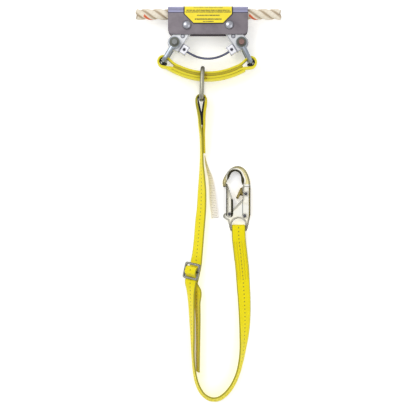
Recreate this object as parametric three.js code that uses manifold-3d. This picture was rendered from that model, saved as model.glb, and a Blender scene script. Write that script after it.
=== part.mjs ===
// A manual rope grab on a short length of lifeline, with its webbing sling, connecting ring,
// adjustable webbing lanyard and double-locking snap hook. Millimetres, +Z up.
// The assembly lies flat: X runs along the lifeline, Y from the hook end towards the grab,
// and Z is up from the surface that it lies on.
import * as THREE from "three";
import { mergeVertices } from "three/addons/utils/BufferGeometryUtils.js";
import Module from "manifold-3d";

const wasm = await Module();
wasm.setup();

// ---- driving dimensions ------------------------------------------------------------------------

const SHIFT = [1.65, -286.3, 0]; // puts the grab, sling and ring over the origin
const MID_Z = 27; // height of the grab's centre plane
const GAP = 0.3; // clearance between touching pieces

const CHANNEL_HALF_LENGTH = 74;
const CHANNEL_BOTTOM = 321.4;
const CHANNEL_TOP = 373.8;
const CHANNEL_HALF_DEPTH = 15.5;
const SHEET = 3;
const BEND_RADIUS = 12;
const CORNER_RADIUS = 9;

const PIVOT = [39.3, 338.6]; // cam pivot bolt, right side; the left one mirrors it
const PIVOT_BOLT_RADIUS = 4;
const PIVOT_HEAD_RADIUS = 8.3;
const BORE_SLACK = 0.3;

const ROPE_RADIUS = 10.3;
const ROPE_Y = 360.2;
const ROPE_ENDS = [-132.1, 134];

const CAM_HALF_THICKNESS = 11;
const SHACKLE_BOLT = [61.7, 306.2]; // shackle bolt in the cam arm, right side
const SHACKLE_BOLT_RADIUS = 5;
const ARM_END_RADIUS = 13;
const ARM_RIVET = [46.8, 318.3];
const ARM_INNER_EDGE = [[55.2, 289.8], [34, 321.8]];

const BLOCK_SIZE = [13, 17.5, 16]; // out from the arm, along the arm, across the grab
const CABLE_RADIUS = 2.15;

const SHACKLE_REACH = 40; // bolt to the middle of the bow's bar
const SHACKLE_HALF_WIDTH = 17.8;
const SHACKLE_BAR = 4.3;
const SHACKLE_CORNER = 9;
const SHACKLE_EYE_RADIUS = 10.5;
const BOW = { left: [-82.5, 272.0], right: [79.2, 270.2] };

const WEB_WIDTH = 25.4;
const WEB = 3.2; // thickness of the lanyard webbing
const SLING_LOW = 246.8; // middle of the sling, where it hangs lowest
const SLING_RISE = 10.4; // rise of the sling's curve at SLING_SPAN from the middle
const SLING_SPAN = 50.5;

const RING_X = -10.4;
const RING_BAR = 4.2;
const RING_HALF_WIDTH = 20;
const RING_BOTTOM = 202.8;
const RING_TOP = 258.8;
const RING_CORNER = 8;
const RING_LEAN = 0.045; // the ring leans this far in X for each millimetre in Y

// ---- helpers -----------------------------------------------------------------------------------

function toSolid(geometry) {
  const bare = geometry.clone();
  bare.deleteAttribute("normal");
  bare.deleteAttribute("uv");
  const merged = mergeVertices(bare, 1e-4);
  return new wasm.Manifold(
    new wasm.Mesh({
      numProp: 3,
      vertProperties: merged.attributes.position.array,
      triVerts: new Uint32Array(merged.index.array),
    }),
  );
}

function toGeometry(solid) {
  const mesh = solid.getMesh();
  const geometry = new THREE.BufferGeometry();
  geometry.setAttribute("position", new THREE.BufferAttribute(mesh.vertProperties, 3));
  geometry.setIndex(new THREE.BufferAttribute(mesh.triVerts, 1));
  return geometry;
}

function unite(...geometries) {
  return toGeometry(geometries.map(toSolid).reduce((a, b) => a.add(b)));
}

function cut(geometry, ...tools) {
  return toGeometry(tools.map(toSolid).reduce((a, b) => a.subtract(b), toSolid(geometry)));
}

function common(a, b) {
  return toGeometry(toSolid(a).intersect(toSolid(b)));
}

// A flat plate between two heights.
function plate(shape, low, high, curveSegments = 8) {
  const options = { depth: high - low, bevelEnabled: false, curveSegments };
  return new THREE.ExtrudeGeometry(shape, options).translate(0, 0, low);
}

function polygon(points) {
  return new THREE.Shape(points.map(([x, y]) => new THREE.Vector2(x, y)));
}

function arcPoints([x, y], radius, from, to, count) {
  return Array.from({ length: count + 1 }, (_, i) => {
    const angle = THREE.MathUtils.degToRad(from + ((to - from) * i) / count);
    return [x + radius * Math.cos(angle), y + radius * Math.sin(angle)];
  });
}

// A round pin along Z.
function pin([x, y], low, high, radius, segments = 20) {
  const geometry = new THREE.CylinderGeometry(radius, radius, high - low, segments);
  return geometry.rotateX(Math.PI / 2).translate(x, y, (low + high) / 2);
}

// A flat washer, or any ring with a straight bore along Z.
function washer([x, y], low, high, outer, bore, segments = 20) {
  const profile = [
    [bore, low],
    [outer, low],
    [outer, high],
    [bore, high],
    [bore, low],
  ].map(([r, z]) => new THREE.Vector2(r, z));
  return new THREE.LatheGeometry(profile, segments).rotateX(Math.PI / 2).translate(x, y, 0);
}

// A solid of revolution about Z from [radius, height] pairs that start and end on the axis.
function turned([x, y], profile, segments = 18) {
  const points = profile.map(([r, z]) => new THREE.Vector2(r, z));
  return new THREE.LatheGeometry(points, segments).rotateX(Math.PI / 2).translate(x, y, 0);
}

function hexagon([x, y], low, high, acrossFlats) {
  const radius = acrossFlats / Math.sqrt(3);
  return plate(polygon(arcPoints([x, y], radius, 0, 300, 5)), low, high);
}

// The same geometry on the other side of X = 0, with its faces still pointing out.
function mirrored(geometry) {
  const flipped = (geometry.index ? geometry.toNonIndexed() : geometry.clone()).scale(-1, 1, 1);
  const position = flipped.getAttribute("position");
  const corner = new THREE.Vector3();
  const other = new THREE.Vector3();
  for (let i = 0; i < position.count; i += 3) {
    corner.fromBufferAttribute(position, i + 1);
    other.fromBufferAttribute(position, i + 2);
    position.setXYZ(i + 1, other.x, other.y, other.z);
    position.setXYZ(i + 2, corner.x, corner.y, corner.z);
  }
  return flipped;
}

function onSide(side, geometry) {
  return side === "left" ? mirrored(geometry) : geometry;
}

function sided(side, [x, y]) {
  return [side === "left" ? -x : x, y];
}

const model = new THREE.Group();
model.position.set(...SHIFT);

function add(name, geometry, material) {
  const mesh = new THREE.Mesh(geometry, material);
  mesh.name = name;
  model.add(mesh);
}

function finish(color, roughness, metalness) {
  return new THREE.MeshStandardMaterial({ color, roughness, metalness });
}

const paintedSteel = () => finish(0x75727b, 0.5, 0.7);
const platedSteel = () => finish(0xb4b8bd, 0.35, 0.9);
const darkSteel = () => finish(0x54584f, 0.5, 0.8);
const goldSteel = () => finish(0xd3c58a, 0.35, 0.9);
const yellowWeb = () => finish(0xf2ea27, 0.85, 0);
const blackWeb = () => finish(0x1c1b1a, 0.9, 0);
const ropeFibre = () => finish(0xe6dcc4, 0.9, 0);
const labelFilm = () => finish(0xf3e02c, 0.5, 0);
const tagCloth = () => finish(0xebe6dd, 0.85, 0);

// ---- grab body ---------------------------------------------------------------------------------

// Folded channel: a U section along X, open towards -Y, with rounded lower corners.
function housingChannel() {
  const depth = CHANNEL_HALF_DEPTH;
  const inner = depth - SHEET;
  const bendY = CHANNEL_TOP - BEND_RADIUS;
  const bendX = depth - BEND_RADIUS;
  const innerBend = BEND_RADIUS - SHEET;
  const section = polygon([
    [depth, CHANNEL_BOTTOM],
    ...arcPoints([bendX, bendY], BEND_RADIUS, 0, 90, 6),
    ...arcPoints([-bendX, bendY], BEND_RADIUS, 90, 180, 6),
    [-depth, CHANNEL_BOTTOM],
    [-inner, CHANNEL_BOTTOM],
    ...arcPoints([-bendX, bendY], innerBend, 180, 90, 6),
    ...arcPoints([bendX, bendY], innerBend, 90, 0, 6),
    [inner, CHANNEL_BOTTOM],
  ]);
  const channel = plate(section, -CHANNEL_HALF_LENGTH, CHANNEL_HALF_LENGTH);
  channel.rotateY(Math.PI / 2).translate(0, 0, MID_Z);
  const x = CHANNEL_HALF_LENGTH - CORNER_RADIUS;
  const y = CHANNEL_BOTTOM + CORNER_RADIUS;
  const outline = polygon([
    ...arcPoints([-x, y], CORNER_RADIUS, 180, 270, 6),
    ...arcPoints([x, y], CORNER_RADIUS, 270, 360, 6),
    [CHANNEL_HALF_LENGTH, CHANNEL_TOP + 5],
    [-CHANNEL_HALF_LENGTH, CHANNEL_TOP + 5],
  ]);
  for (const side of ["left", "right"]) {
    const [holeX, holeY] = sided(side, PIVOT);
    const hole = new THREE.Path();
    hole.absarc(holeX, holeY, PIVOT_BOLT_RADIUS + BORE_SLACK, 0, 2 * Math.PI, true);
    outline.holes.push(hole);
  }
  return common(channel, plate(outline, 0, 60, 12));
}

// The label is one thin film folded over the channel: front flap, top bend and rear flap.
const LABEL_THICKNESS = 0.4;
const LABEL_TOP = [-45.3, 46.2];
const LABEL_SHOULDER_Y = 358.7;
const LABEL_BOTTOM = [-26.8, 27.7];
const LABEL_BOTTOM_Y = 340.2;

function instructionLabel() {
  const inside = CHANNEL_HALF_DEPTH + GAP;
  const outside = inside + LABEL_THICKNESS;
  const bend = BEND_RADIUS + GAP;
  const bendX = CHANNEL_HALF_DEPTH - BEND_RADIUS;
  const bendY = CHANNEL_TOP - BEND_RADIUS;
  const section = polygon([
    [outside, LABEL_BOTTOM_Y],
    ...arcPoints([bendX, bendY], bend + LABEL_THICKNESS, 0, 90, 6),
    ...arcPoints([-bendX, bendY], bend + LABEL_THICKNESS, 90, 180, 6),
    [-outside, LABEL_BOTTOM_Y],
    [-inside, LABEL_BOTTOM_Y],
    ...arcPoints([-bendX, bendY], bend, 180, 90, 6),
    ...arcPoints([bendX, bendY], bend, 90, 0, 6),
    [inside, LABEL_BOTTOM_Y],
  ]);
  const sleeve = plate(section, LABEL_TOP[0], LABEL_TOP[1]);
  sleeve.rotateY(Math.PI / 2).translate(0, 0, MID_Z);
  const outline = polygon([
    [LABEL_BOTTOM[0], LABEL_BOTTOM_Y],
    [LABEL_BOTTOM[1], LABEL_BOTTOM_Y],
    [LABEL_TOP[1], LABEL_SHOULDER_Y],
    [LABEL_TOP[1], CHANNEL_TOP + 5],
    [LABEL_TOP[0], CHANNEL_TOP + 5],
    [LABEL_TOP[0], LABEL_SHOULDER_Y],
  ]);
  const heads = ["left", "right"].map((side) =>
    pin(sided(side, PIVOT), 0, 60, PIVOT_HEAD_RADIUS + GAP, 32),
  );
  return cut(common(sleeve, plate(outline, 0, 60)), ...heads);
}

const PIVOT_HEAD_BASE = MID_Z + CHANNEL_HALF_DEPTH + GAP;
const PIVOT_HEAD_HEIGHT = 5;
const PIVOT_NUT = [3.2, 11.2]; // lower and upper face
const PIVOT_NUT_FLATS = 13;

function pivotBolt(side) {
  const top = PIVOT_HEAD_BASE + PIVOT_HEAD_HEIGHT;
  const dome = arcPoints([0, 0], 1, 8, 82, 6).map(([c, s]) => [
    PIVOT_HEAD_RADIUS * c,
    PIVOT_HEAD_BASE + 1 + (PIVOT_HEAD_HEIGHT - 1) * s,
  ]);
  return turned(sided(side, PIVOT), [
    [0, 0],
    [PIVOT_BOLT_RADIUS, 0],
    [PIVOT_BOLT_RADIUS, PIVOT_HEAD_BASE],
    [PIVOT_HEAD_RADIUS, PIVOT_HEAD_BASE],
    ...dome,
    [0, top],
  ]);
}

function pivotNut(side) {
  const [low, high] = PIVOT_NUT;
  const centre = sided(side, PIVOT);
  const bore = pin(centre, low - 1, high + 1, PIVOT_BOLT_RADIUS + BORE_SLACK);
  return cut(hexagon(centre, low, high, PIVOT_NUT_FLATS), bore);
}

const THRUST_WASHER = { radius: 8, thickness: 0.9, offset: 11.3 };

function thrustWasher(side, face) {
  const { radius, thickness, offset } = THRUST_WASHER;
  const low = face === "front" ? MID_Z + offset : MID_Z - offset - thickness;
  return washer(sided(side, PIVOT), low, low + thickness, radius, PIVOT_BOLT_RADIUS + BORE_SLACK);
}

function lifelineSample() {
  const length = ROPE_ENDS[1] - ROPE_ENDS[0];
  const rope = new THREE.CylinderGeometry(ROPE_RADIUS, ROPE_RADIUS, length, 20);
  const middle = (ROPE_ENDS[0] + ROPE_ENDS[1]) / 2;
  return rope.rotateZ(Math.PI / 2).translate(middle, ROPE_Y, MID_Z);
}

// ---- cams and the keeper cable -----------------------------------------------------------------

// Toothed lobe: the radius grows as the cam turns shut, and each tooth is cut inwards.
const LOBE_RADIUS = 10.9;
const LOBE_GROWTH = 0.03; // millimetres for each degree
const TOOTH_DEPTH = 0.9;
const TOOTH_COUNT = 13;

// Seen on the right-hand cam, whose lobe runs from 30 to 160 degrees about the pivot.
function lobePoints() {
  const points = [];
  for (let i = 0; i <= 2 * TOOTH_COUNT; i += 1) {
    const angle = 30 + (130 * i) / (2 * TOOTH_COUNT);
    const depth = i % 2 ? TOOTH_DEPTH : 0;
    const radius = LOBE_RADIUS + LOBE_GROWTH * (angle - 90) - depth;
    const [point] = arcPoints(PIVOT, radius, angle, angle, 1);
    points.push(point);
  }
  return points;
}

function armDirection() {
  const [[x0, y0], [x1, y1]] = ARM_INNER_EDGE;
  const length = Math.hypot(x1 - x0, y1 - y0);
  return [(x1 - x0) / length, (y1 - y0) / length];
}

// The cable block stands on the inner edge of the arm, square to it.
const BLOCK_MIDDLE = [44, 294];
const STEM_RADIUS = 4;
const STEM_LENGTH = 9;

function blockPlacement(geometry) {
  const [dx, dy] = armDirection();
  return geometry.rotateZ(Math.atan2(dy, dx) - Math.PI / 2).translate(...BLOCK_MIDDLE, MID_Z);
}

function alongX(radius, low, high, segments = 20) {
  const geometry = new THREE.CylinderGeometry(radius, radius, high - low, segments);
  return geometry.rotateZ(Math.PI / 2).translate((low + high) / 2, 0, 0);
}

const ARM_RIVET_RADIUS = 3;

function cam() {
  const outline = polygon([
    ARM_INNER_EDGE[0],
    ...arcPoints(SHACKLE_BOLT, ARM_END_RADIUS, -70, 30, 10),
    ...lobePoints(),
    [29.5, 329],
    ARM_INNER_EDGE[1],
  ]);
  const low = MID_Z - CAM_HALF_THICKNESS;
  const high = MID_Z + CAM_HALF_THICKNESS;
  const bores = [
    pin(PIVOT, low - 1, high + 1, PIVOT_BOLT_RADIUS + BORE_SLACK),
    pin(SHACKLE_BOLT, low - 1, high + 1, SHACKLE_BOLT_RADIUS + BORE_SLACK),
    pin(ARM_RIVET, low - 1, high + 1, ARM_RIVET_RADIUS + BORE_SLACK),
    blockPlacement(alongX(STEM_RADIUS + BORE_SLACK, 0, BLOCK_SIZE[0] / 2 + STEM_LENGTH + 1)),
  ];
  return cut(plate(outline, low, high), ...bores);
}

const ARM_RIVET_HEAD = [3.8, 0.8]; // radius and thickness

function armRivet() {
  const [headRadius, headThickness] = ARM_RIVET_HEAD;
  const seat = CAM_HALF_THICKNESS + GAP;
  return turned(ARM_RIVET, [
    [0, MID_Z - seat - headThickness],
    [headRadius, MID_Z - seat - headThickness],
    [headRadius, MID_Z - seat],
    [ARM_RIVET_RADIUS, MID_Z - seat],
    [ARM_RIVET_RADIUS, MID_Z + seat],
    [headRadius, MID_Z + seat],
    [headRadius, MID_Z + seat + headThickness],
    [0, MID_Z + seat + headThickness],
  ]);
}

const SET_SCREW_RADIUS = 2.1;

function cableBlock() {
  const [out, along, across] = BLOCK_SIZE;
  const body = new THREE.BoxGeometry(out, along, across);
  const stem = alongX(STEM_RADIUS, 0, out / 2 + STEM_LENGTH);
  const cableBore = alongX(CABLE_RADIUS + 0.35, -out / 2 - 1, -out / 2 + 8);
  const screwBore = pin([0, 0], 2.5, across / 2 + 1, SET_SCREW_RADIUS + BORE_SLACK);
  return blockPlacement(cut(unite(body, stem), cableBore, screwBore));
}

function setScrew() {
  return blockPlacement(pin([0, 0], 2.8, 6.5, SET_SCREW_RADIUS, 20));
}

// The cable leaves one block square to its face, dips to the middle and rises to the other.
const CABLE_ROUTE = [[42.8, 293.2], [38.4, 290.3], [33.6, 287.2], [18.5, 280.6]];
const CABLE_LOW_POINT = [0, 277.8];

function keeperCable() {
  const right = CABLE_ROUTE.map(([x, y]) => new THREE.Vector3(x, y, MID_Z));
  const left = right.map((p) => new THREE.Vector3(-p.x, p.y, p.z)).reverse();
  const middle = new THREE.Vector3(...CABLE_LOW_POINT, MID_Z);
  const route = new THREE.CatmullRomCurve3([...right, middle, ...left]);
  const section = polygon(arcPoints([0, 0], CABLE_RADIUS, 0, 315, 7));
  return new THREE.ExtrudeGeometry(section, { steps: 24, extrudePath: route });
}

// ---- shackles ----------------------------------------------------------------------------------

// Each shackle is made hanging straight down from its bolt at the origin, bow towards -Y,
// then turned so that the bow's middle comes to BOW[side].
function shacklePlacement(side, geometry) {
  const [bx, by] = sided(side, SHACKLE_BOLT);
  const [wx, wy] = BOW[side];
  const turn = Math.atan2(wy - by, wx - bx) + Math.PI / 2;
  return geometry.rotateZ(turn).translate(bx, by, MID_Z);
}

const SHACKLE_EYE = [14.3, 21.3]; // faces of each eye, measured out from the centre plane

function shackleBow(side) {
  const half = SHACKLE_HALF_WIDTH;
  const bend = SHACKLE_REACH - SHACKLE_CORNER;
  const flat = half - SHACKLE_CORNER;
  const corner = arcPoints([0, 0], SHACKLE_CORNER, 0, 90, 4);
  const points = [
    [half, SHACKLE_EYE_RADIUS - 0.8],
    [half, 20],
    ...corner.map(([c, s]) => [flat + c, bend + s]),
    ...corner.reverse().map(([c, s]) => [-flat - c, bend + s]),
    [-half, 20],
    [-half, SHACKLE_EYE_RADIUS - 0.8],
  ].map(([z, reach]) => new THREE.Vector3(0, -reach, z));
  const bar = sweptBar(points, SHACKLE_BAR, 12);
  const [inner, outer] = SHACKLE_EYE;
  const eyes = [
    pin([0, 0], inner, outer, SHACKLE_EYE_RADIUS, 28),
    pin([0, 0], -outer, -inner, SHACKLE_EYE_RADIUS, 28),
  ];
  const bore = pin([0, 0], -outer - 1, outer + 1, SHACKLE_BOLT_RADIUS + BORE_SLACK, 24);
  return shacklePlacement(side, cut(unite(bar, ...eyes), bore));
}

// A round bar along a polyline that lies in one plane, mitred at each point.
function sweptBar(points, radius, sides) {
  const count = points.length;
  const rings = points.map((p, i) => {
    const before = points[Math.max(i - 1, 0)];
    const after = points[Math.min(i + 1, count - 1)];
    const incoming = p.clone().sub(i ? before : p).normalize();
    const outgoing = (i < count - 1 ? after : p).clone().sub(p).normalize();
    const tangent = incoming.clone().add(outgoing).normalize();
    const acrossPlane = new THREE.Vector3(1, 0, 0);
    const inPlane = new THREE.Vector3().crossVectors(tangent, acrossPlane);
    const mitre = 1 / Math.max(0.5, tangent.dot(i ? incoming : outgoing));
    return Array.from({ length: sides }, (_, k) => {
      const angle = (2 * Math.PI * k) / sides;
      return p
        .clone()
        .addScaledVector(acrossPlane, radius * Math.cos(angle))
        .addScaledVector(inPlane, radius * mitre * Math.sin(angle));
    });
  });
  return skin(rings, false);
}

// A closed surface through rings of points: capped at both ends, or joined into a loop.
function skin(rings, loop) {
  const sides = rings[0].length;
  const index = [];
  const at = (i, k) => (i % rings.length) * sides + (k % sides);
  for (let i = 0; i < rings.length - (loop ? 0 : 1); i += 1) {
    for (let k = 0; k < sides; k += 1) {
      index.push(at(i, k), at(i, k + 1), at(i + 1, k + 1));
      index.push(at(i, k), at(i + 1, k + 1), at(i + 1, k));
    }
  }
  if (!loop) {
    const last = rings.length - 1;
    for (let k = 1; k < sides - 1; k += 1) {
      index.push(at(0, 0), at(0, k + 1), at(0, k));
      index.push(at(last, 0), at(last, k), at(last, k + 1));
    }
  }
  const geometry = new THREE.BufferGeometry().setFromPoints(rings.flat()).setIndex(index);
  const solid = toSolid(geometry);
  if (solid.volume() > 0) return geometry;
  for (let i = 0; i < index.length; i += 3) [index[i], index[i + 1]] = [index[i + 1], index[i]];
  return geometry.setIndex(index);
}

const BOLT_HEAD = [21.6, 26.5]; // faces of the shackle bolt's head, out from the centre plane
const BOLT_NUT = [-26.6, -21.6];
const SHACKLE_NUT_FLATS = 15;

function shackleBolt(side) {
  const [low, high] = BOLT_HEAD;
  const head = plate(polygon(arcPoints([0, 0], 6, 0, 300, 5)), low - 0.01, high);
  return shacklePlacement(side, unite(pin([0, 0], -26.8, low, SHACKLE_BOLT_RADIUS), head));
}

function shackleNut(side) {
  const [low, high] = BOLT_NUT;
  const bore = pin([0, 0], low - 1, high + 1, SHACKLE_BOLT_RADIUS + BORE_SLACK);
  return shacklePlacement(side, cut(hexagon([0, 0], low, high, SHACKLE_NUT_FLATS), bore));
}

const SPACER = { radius: 9, low: 11.3, high: 14 };

function spacerWasher(side, face) {
  const { radius, low, high } = SPACER;
  const bore = SHACKLE_BOLT_RADIUS + BORE_SLACK;
  const [from, to] = face === "front" ? [low, high] : [-high, -low];
  const ring = washer([0, 0], from, to, radius, bore);
  return shacklePlacement(side, ring);
}

// ---- sling -------------------------------------------------------------------------------------

function slingPoint(x, offset) {
  const rise = SLING_RISE / SLING_SPAN ** 2;
  const slope = 2 * rise * x;
  const length = Math.hypot(1, slope);
  const y = SLING_LOW + rise * x * x;
  return [x - (offset * slope) / length, y + offset / length];
}

function slingBand(from, to, low, high, count, half = WEB_WIDTH / 2) {
  const xs = Array.from({ length: count + 1 }, (_, i) => from + ((to - from) * i) / count);
  const lower = xs.map((x) => slingPoint(x, low));
  const upper = xs.map((x) => slingPoint(x, high)).reverse();
  return plate(polygon([...lower, ...upper]), MID_Z - half, MID_Z + half);
}

function bowDisc(side, radius, half = WEB_WIDTH / 2) {
  return pin(BOW[side], MID_Z - half, MID_Z + half, radius, 32);
}

const SLING_OUTER = 6.5;
const SLING_INNER = 2.1;
const EYE_OUTER = 12;
const EYE_INNER = 7.4;

// One belt of webbing, sewn into a flat loop that opens into an eye around each bow.
function slingLoop() {
  const outer = unite(
    slingBand(BOW.left[0], BOW.right[0], -SLING_OUTER, SLING_OUTER, 24),
    bowDisc("left", EYE_OUTER),
    bowDisc("right", EYE_OUTER),
  );
  const through = WEB_WIDTH / 2 + 1;
  const hollow = unite(
    slingBand(BOW.left[0], BOW.right[0], -SLING_INNER, SLING_INNER, 24, through),
    bowDisc("left", EYE_INNER, through),
    bowDisc("right", EYE_INNER, through),
  );
  return cut(outer, hollow);
}

function slingCore() {
  return slingBand(-64, 64, -1.8, 1.8, 18);
}

function slingDoubler() {
  return slingBand(-72, 64.5, -11, -6.8, 20);
}

const LINING = { outer: 7.1, inner: 5.4 };

// Half ring of black wear lining between the bow and the lower side of the sling's eye.
function eyeLining(side) {
  const half = WEB_WIDTH / 2;
  const [from, to] = side === "left" ? [140, 335] : [205, 400];
  const outline = polygon([
    ...arcPoints(BOW[side], LINING.outer, from, to, 14),
    ...arcPoints(BOW[side], LINING.inner, to, from, 14),
  ]);
  return plate(outline, MID_Z - half, MID_Z + half);
}

// ---- ring --------------------------------------------------------------------------------------

function connectorRing() {
  const middleY = (RING_TOP + RING_BOTTOM) / 2;
  const halfY = (RING_TOP - RING_BOTTOM) / 2 - RING_CORNER;
  const halfZ = RING_HALF_WIDTH - RING_CORNER;
  const corners = [
    [halfY, halfZ, 0],
    [-halfY, halfZ, 90],
    [-halfY, -halfZ, 180],
    [halfY, -halfZ, 270],
  ];
  const line = corners.flatMap(([y, z, turn]) => {
    const arc = arcPoints([0, 0], RING_CORNER, turn, turn + 90, 5);
    return arc.map(([c, s]) => [middleY + y + c, MID_Z + z + s]);
  });
  const rings = line.map(([y, z], i) => {
    const [y0, z0] = line[(i + line.length - 1) % line.length];
    const [y1, z1] = line[(i + 1) % line.length];
    const length = Math.hypot(y1 - y0, z1 - z0);
    const normal = [(z1 - z0) / length, -(y1 - y0) / length];
    return Array.from({ length: 14 }, (_, k) => {
      const angle = (2 * Math.PI * k) / 14;
      const out = RING_BAR * Math.cos(angle);
      const pointY = y + out * normal[0];
      const lean = RING_LEAN * (pointY - SLING_LOW);
      const x = RING_X + lean + RING_BAR * Math.sin(angle);
      return new THREE.Vector3(x, pointY, z + out * normal[1]);
    });
  });
  return skin(rings, true);
}

// ---- lanyard webbing ---------------------------------------------------------------------------

// Height of the middle line of a strap that lies on the ground, turned by so many degrees
// from standing on its edge.
function restingHeight(turn) {
  const angle = THREE.MathUtils.degToRad(turn);
  return (WEB_WIDTH / 2) * Math.cos(angle) + (WEB / 2) * Math.sin(angle) + GAP;
}

// Stations of a strap from [x, y, turn] points that rest on the ground, or [x, y, turn, z]
// points that are held up. At a turn of 0 degrees the width stands upright, at 90 it lies flat.
function stationsOf(route) {
  const points = route.map(([x, y, turn, z]) => new THREE.Vector3(x, y, z ?? restingHeight(turn)));
  return points.map((point, i) => {
    const after = points[Math.min(i + 1, points.length - 1)];
    const heading = after.clone().sub(points[Math.max(i - 1, 0)]).normalize();
    const turn = THREE.MathUtils.degToRad(route[i][2]);
    const level = new THREE.Vector3(heading.y, -heading.x, 0).normalize();
    const across = new THREE.Vector3(0, 0, Math.cos(turn)).addScaledVector(level, -Math.sin(turn));
    return { point, across };
  });
}

// A flat band swept through its stations, with so many steps from each to the next.
function strap(stations, steps, width = WEB_WIDTH, thickness = WEB) {
  const line = new THREE.CatmullRomCurve3(stations.map(({ point }) => point));
  const turning = new THREE.CatmullRomCurve3(
    stations.map(({ across }) => across),
    false,
    "catmullrom",
    0.5,
  );
  const count = steps * (stations.length - 1);
  const rings = Array.from({ length: count + 1 }, (_, i) => {
    const t = i / count;
    const middle = line.getPoint(t);
    const tangent = line.getTangent(t);
    const face = new THREE.Vector3().crossVectors(tangent, turning.getPoint(t)).normalize();
    const across = new THREE.Vector3().crossVectors(face, tangent).normalize();
    const corner = (u, v) =>
      middle
        .clone()
        .addScaledVector(across, (u * width) / 2)
        .addScaledVector(face, (v * thickness) / 2);
    return [corner(-1, -1), corner(1, -1), corner(1, 1), corner(-1, 1)];
  });
  return skin(rings, false);
}

// The adjuster's own frame: X across the strap, Y up the lanyard, Z out of its face.
const ADJUSTER_MIDDLE = [-30.4, -117.7, 18.9];
const ADJUSTER_TURN = 57; // degrees from standing on edge
const STRAP_HEADING = [-0.2, -0.98, 0];

function adjusterMatrix() {
  const down = new THREE.Vector3(...STRAP_HEADING).normalize();
  const level = new THREE.Vector3(down.y, -down.x, 0);
  const turn = THREE.MathUtils.degToRad(ADJUSTER_TURN);
  const across = new THREE.Vector3(0, 0, Math.cos(turn)).addScaledVector(level, -Math.sin(turn));
  const up = down.clone().negate();
  const out = new THREE.Vector3().crossVectors(across, up);
  return new THREE.Matrix4().makeBasis(across, up, out).setPosition(...ADJUSTER_MIDDLE);
}

// A station given as its distance down the strap and its height out of the adjuster's plane.
function adjusterStation([down, out]) {
  const matrix = adjusterMatrix();
  const across = new THREE.Vector3().setFromMatrixColumn(matrix, 0);
  return { point: new THREE.Vector3(0, -down, out).applyMatrix4(matrix), across };
}

// From the top of the loop over the ring, down its left side, behind the adjuster, to its end.
const UPPER_STRAP = [
  [-13.3, 210.3, 0, 27],
  [-16.8, 209.5, 0, 27],
  [-20.0, 206.9, 0, 27],
  [-21.4, 202.5, 0, 27],
  [-21.2, 195, 0, 26.8],
  [-19.2, 185, 0, 26],
  [-16.5, 170, 3, 24.4],
  [-15.1, 154, 5, 22],
  [-13.2, 138, 8, 19],
  [-12.2, 120, 8, 16.2],
  [-11.8, 104, 9, 14.2],
  [-11.7, 80, 14],
  [-11.2, 56, 25],
  [-11.2, 30, 36],
  [-12.2, 0, 41],
  [-14.4, -24, 45],
  [-17.0, -56, 45],
  [-19.6, -84, 48],
];
const BEHIND_ADJUSTER = [
  [-12, -11.4],
  [6, -11.6],
  [24, -12.3],
];
const TAIL = [
  [-21.8, -158, 42, 11.2],
  [-19.8, -178, 24],
  [-18.6, -205, 18],
  [-18.4, -240, 14],
  [-18.7, -275, 12],
  [-18.7, -306.5, 10],
];

function upperStrap() {
  const behind = BEHIND_ADJUSTER.map(adjusterStation);
  return strap([...stationsOf(UPPER_STRAP), ...behind, ...stationsOf(TAIL)], 2);
}

// The sewn return lap of the ring loop, from its top down the right side.
const RING_LAP = [
  [-12.3, 210.3, 0, 27],
  [-8.7, 209.5, 0, 27],
  [-5.4, 206.9, 0, 27],
  [-3.9, 202.5, 0, 27],
  [-4.0, 195, 0, 26.8],
  [-5.6, 185, 0, 26],
  [-7.4, 170, 3, 24.4],
  [-7.9, 154, 5, 22],
  [-8.6, 138, 8, 19],
  [-8.3, 120, 8, 16.2],
  [-8.0, 103, 9, 14.2],
];

// The lower strap's fold over the adjuster's bar, down to where it leaves the frame.
const BAR_FOLD = [
  ...arcPoints([0, 0], 4.1, 168, 60, 4),
  [7.5, -0.8],
  [10.8, -3.7],
  [16, -4.1],
  [22, -4.2],
];
// Down the left leg, round the bottom of the bight and up the right leg.
const LOWER_LEG = [
  [-32.0, -156, 36, 12.2],
  [-31.0, -176, 27],
  [-30.0, -205, 21],
  [-29.0, -240, 15],
  [-28.1, -275, 9],
  [-25.4, -305, 10],
  [-19.8, -330, 14],
  [-9.4, -348.5, 18],
  [4.4, -357.6, 22],
  [19, -357.6, 23],
  [33, -348.6, 22],
  [46.5, -331, 19],
  [56.4, -308, 17],
  [62, -285, 20],
  [65.4, -262, 28],
  [67.6, -238, 42],
  [68.6, -212, 55],
  [68, -175, 70],
  [65.8, -138, 80],
  [64.2, -114, 88, 4.9],
  [62.4, -96, 90, 5.7],
  [60, -76, 90, 6.4],
  [57.8, -56, 90, 9.8],
];
// The last points fold the strap round the eye bar, given as angles about the bar's middle.
const EYE_BAR = { x: 57.3, y: -38, z: 8, radius: 3.4 };
const EYE_FOLD_RADIUS = EYE_BAR.radius + GAP + WEB / 2 + 0.1;

function eyeFoldStation(degrees) {
  const angle = THREE.MathUtils.degToRad(degrees);
  const y = EYE_BAR.y + EYE_FOLD_RADIUS * Math.cos(angle);
  const z = EYE_BAR.z + EYE_FOLD_RADIUS * Math.sin(angle);
  return { point: new THREE.Vector3(EYE_BAR.x, y, z), across: new THREE.Vector3(-1, 0, 0) };
}

function lowerStrap() {
  const fold = BAR_FOLD.map(adjusterStation);
  const eye = [100, 76, 52, 28, 6].map(eyeFoldStation);
  return strap([...fold, ...stationsOf(LOWER_LEG), ...eye], 2);
}

// The return lap of the lower strap: round the back of the bar, then behind the strap itself.
const ADJUSTER_LAP = [
  ...arcPoints([0, 0], 4.1, 192, 270, 3),
  [5, -6.2],
  [10, -7.7],
  [15, -7.9],
];

function adjusterLap() {
  return strap(ADJUSTER_LAP.map(adjusterStation), 2);
}

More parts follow.
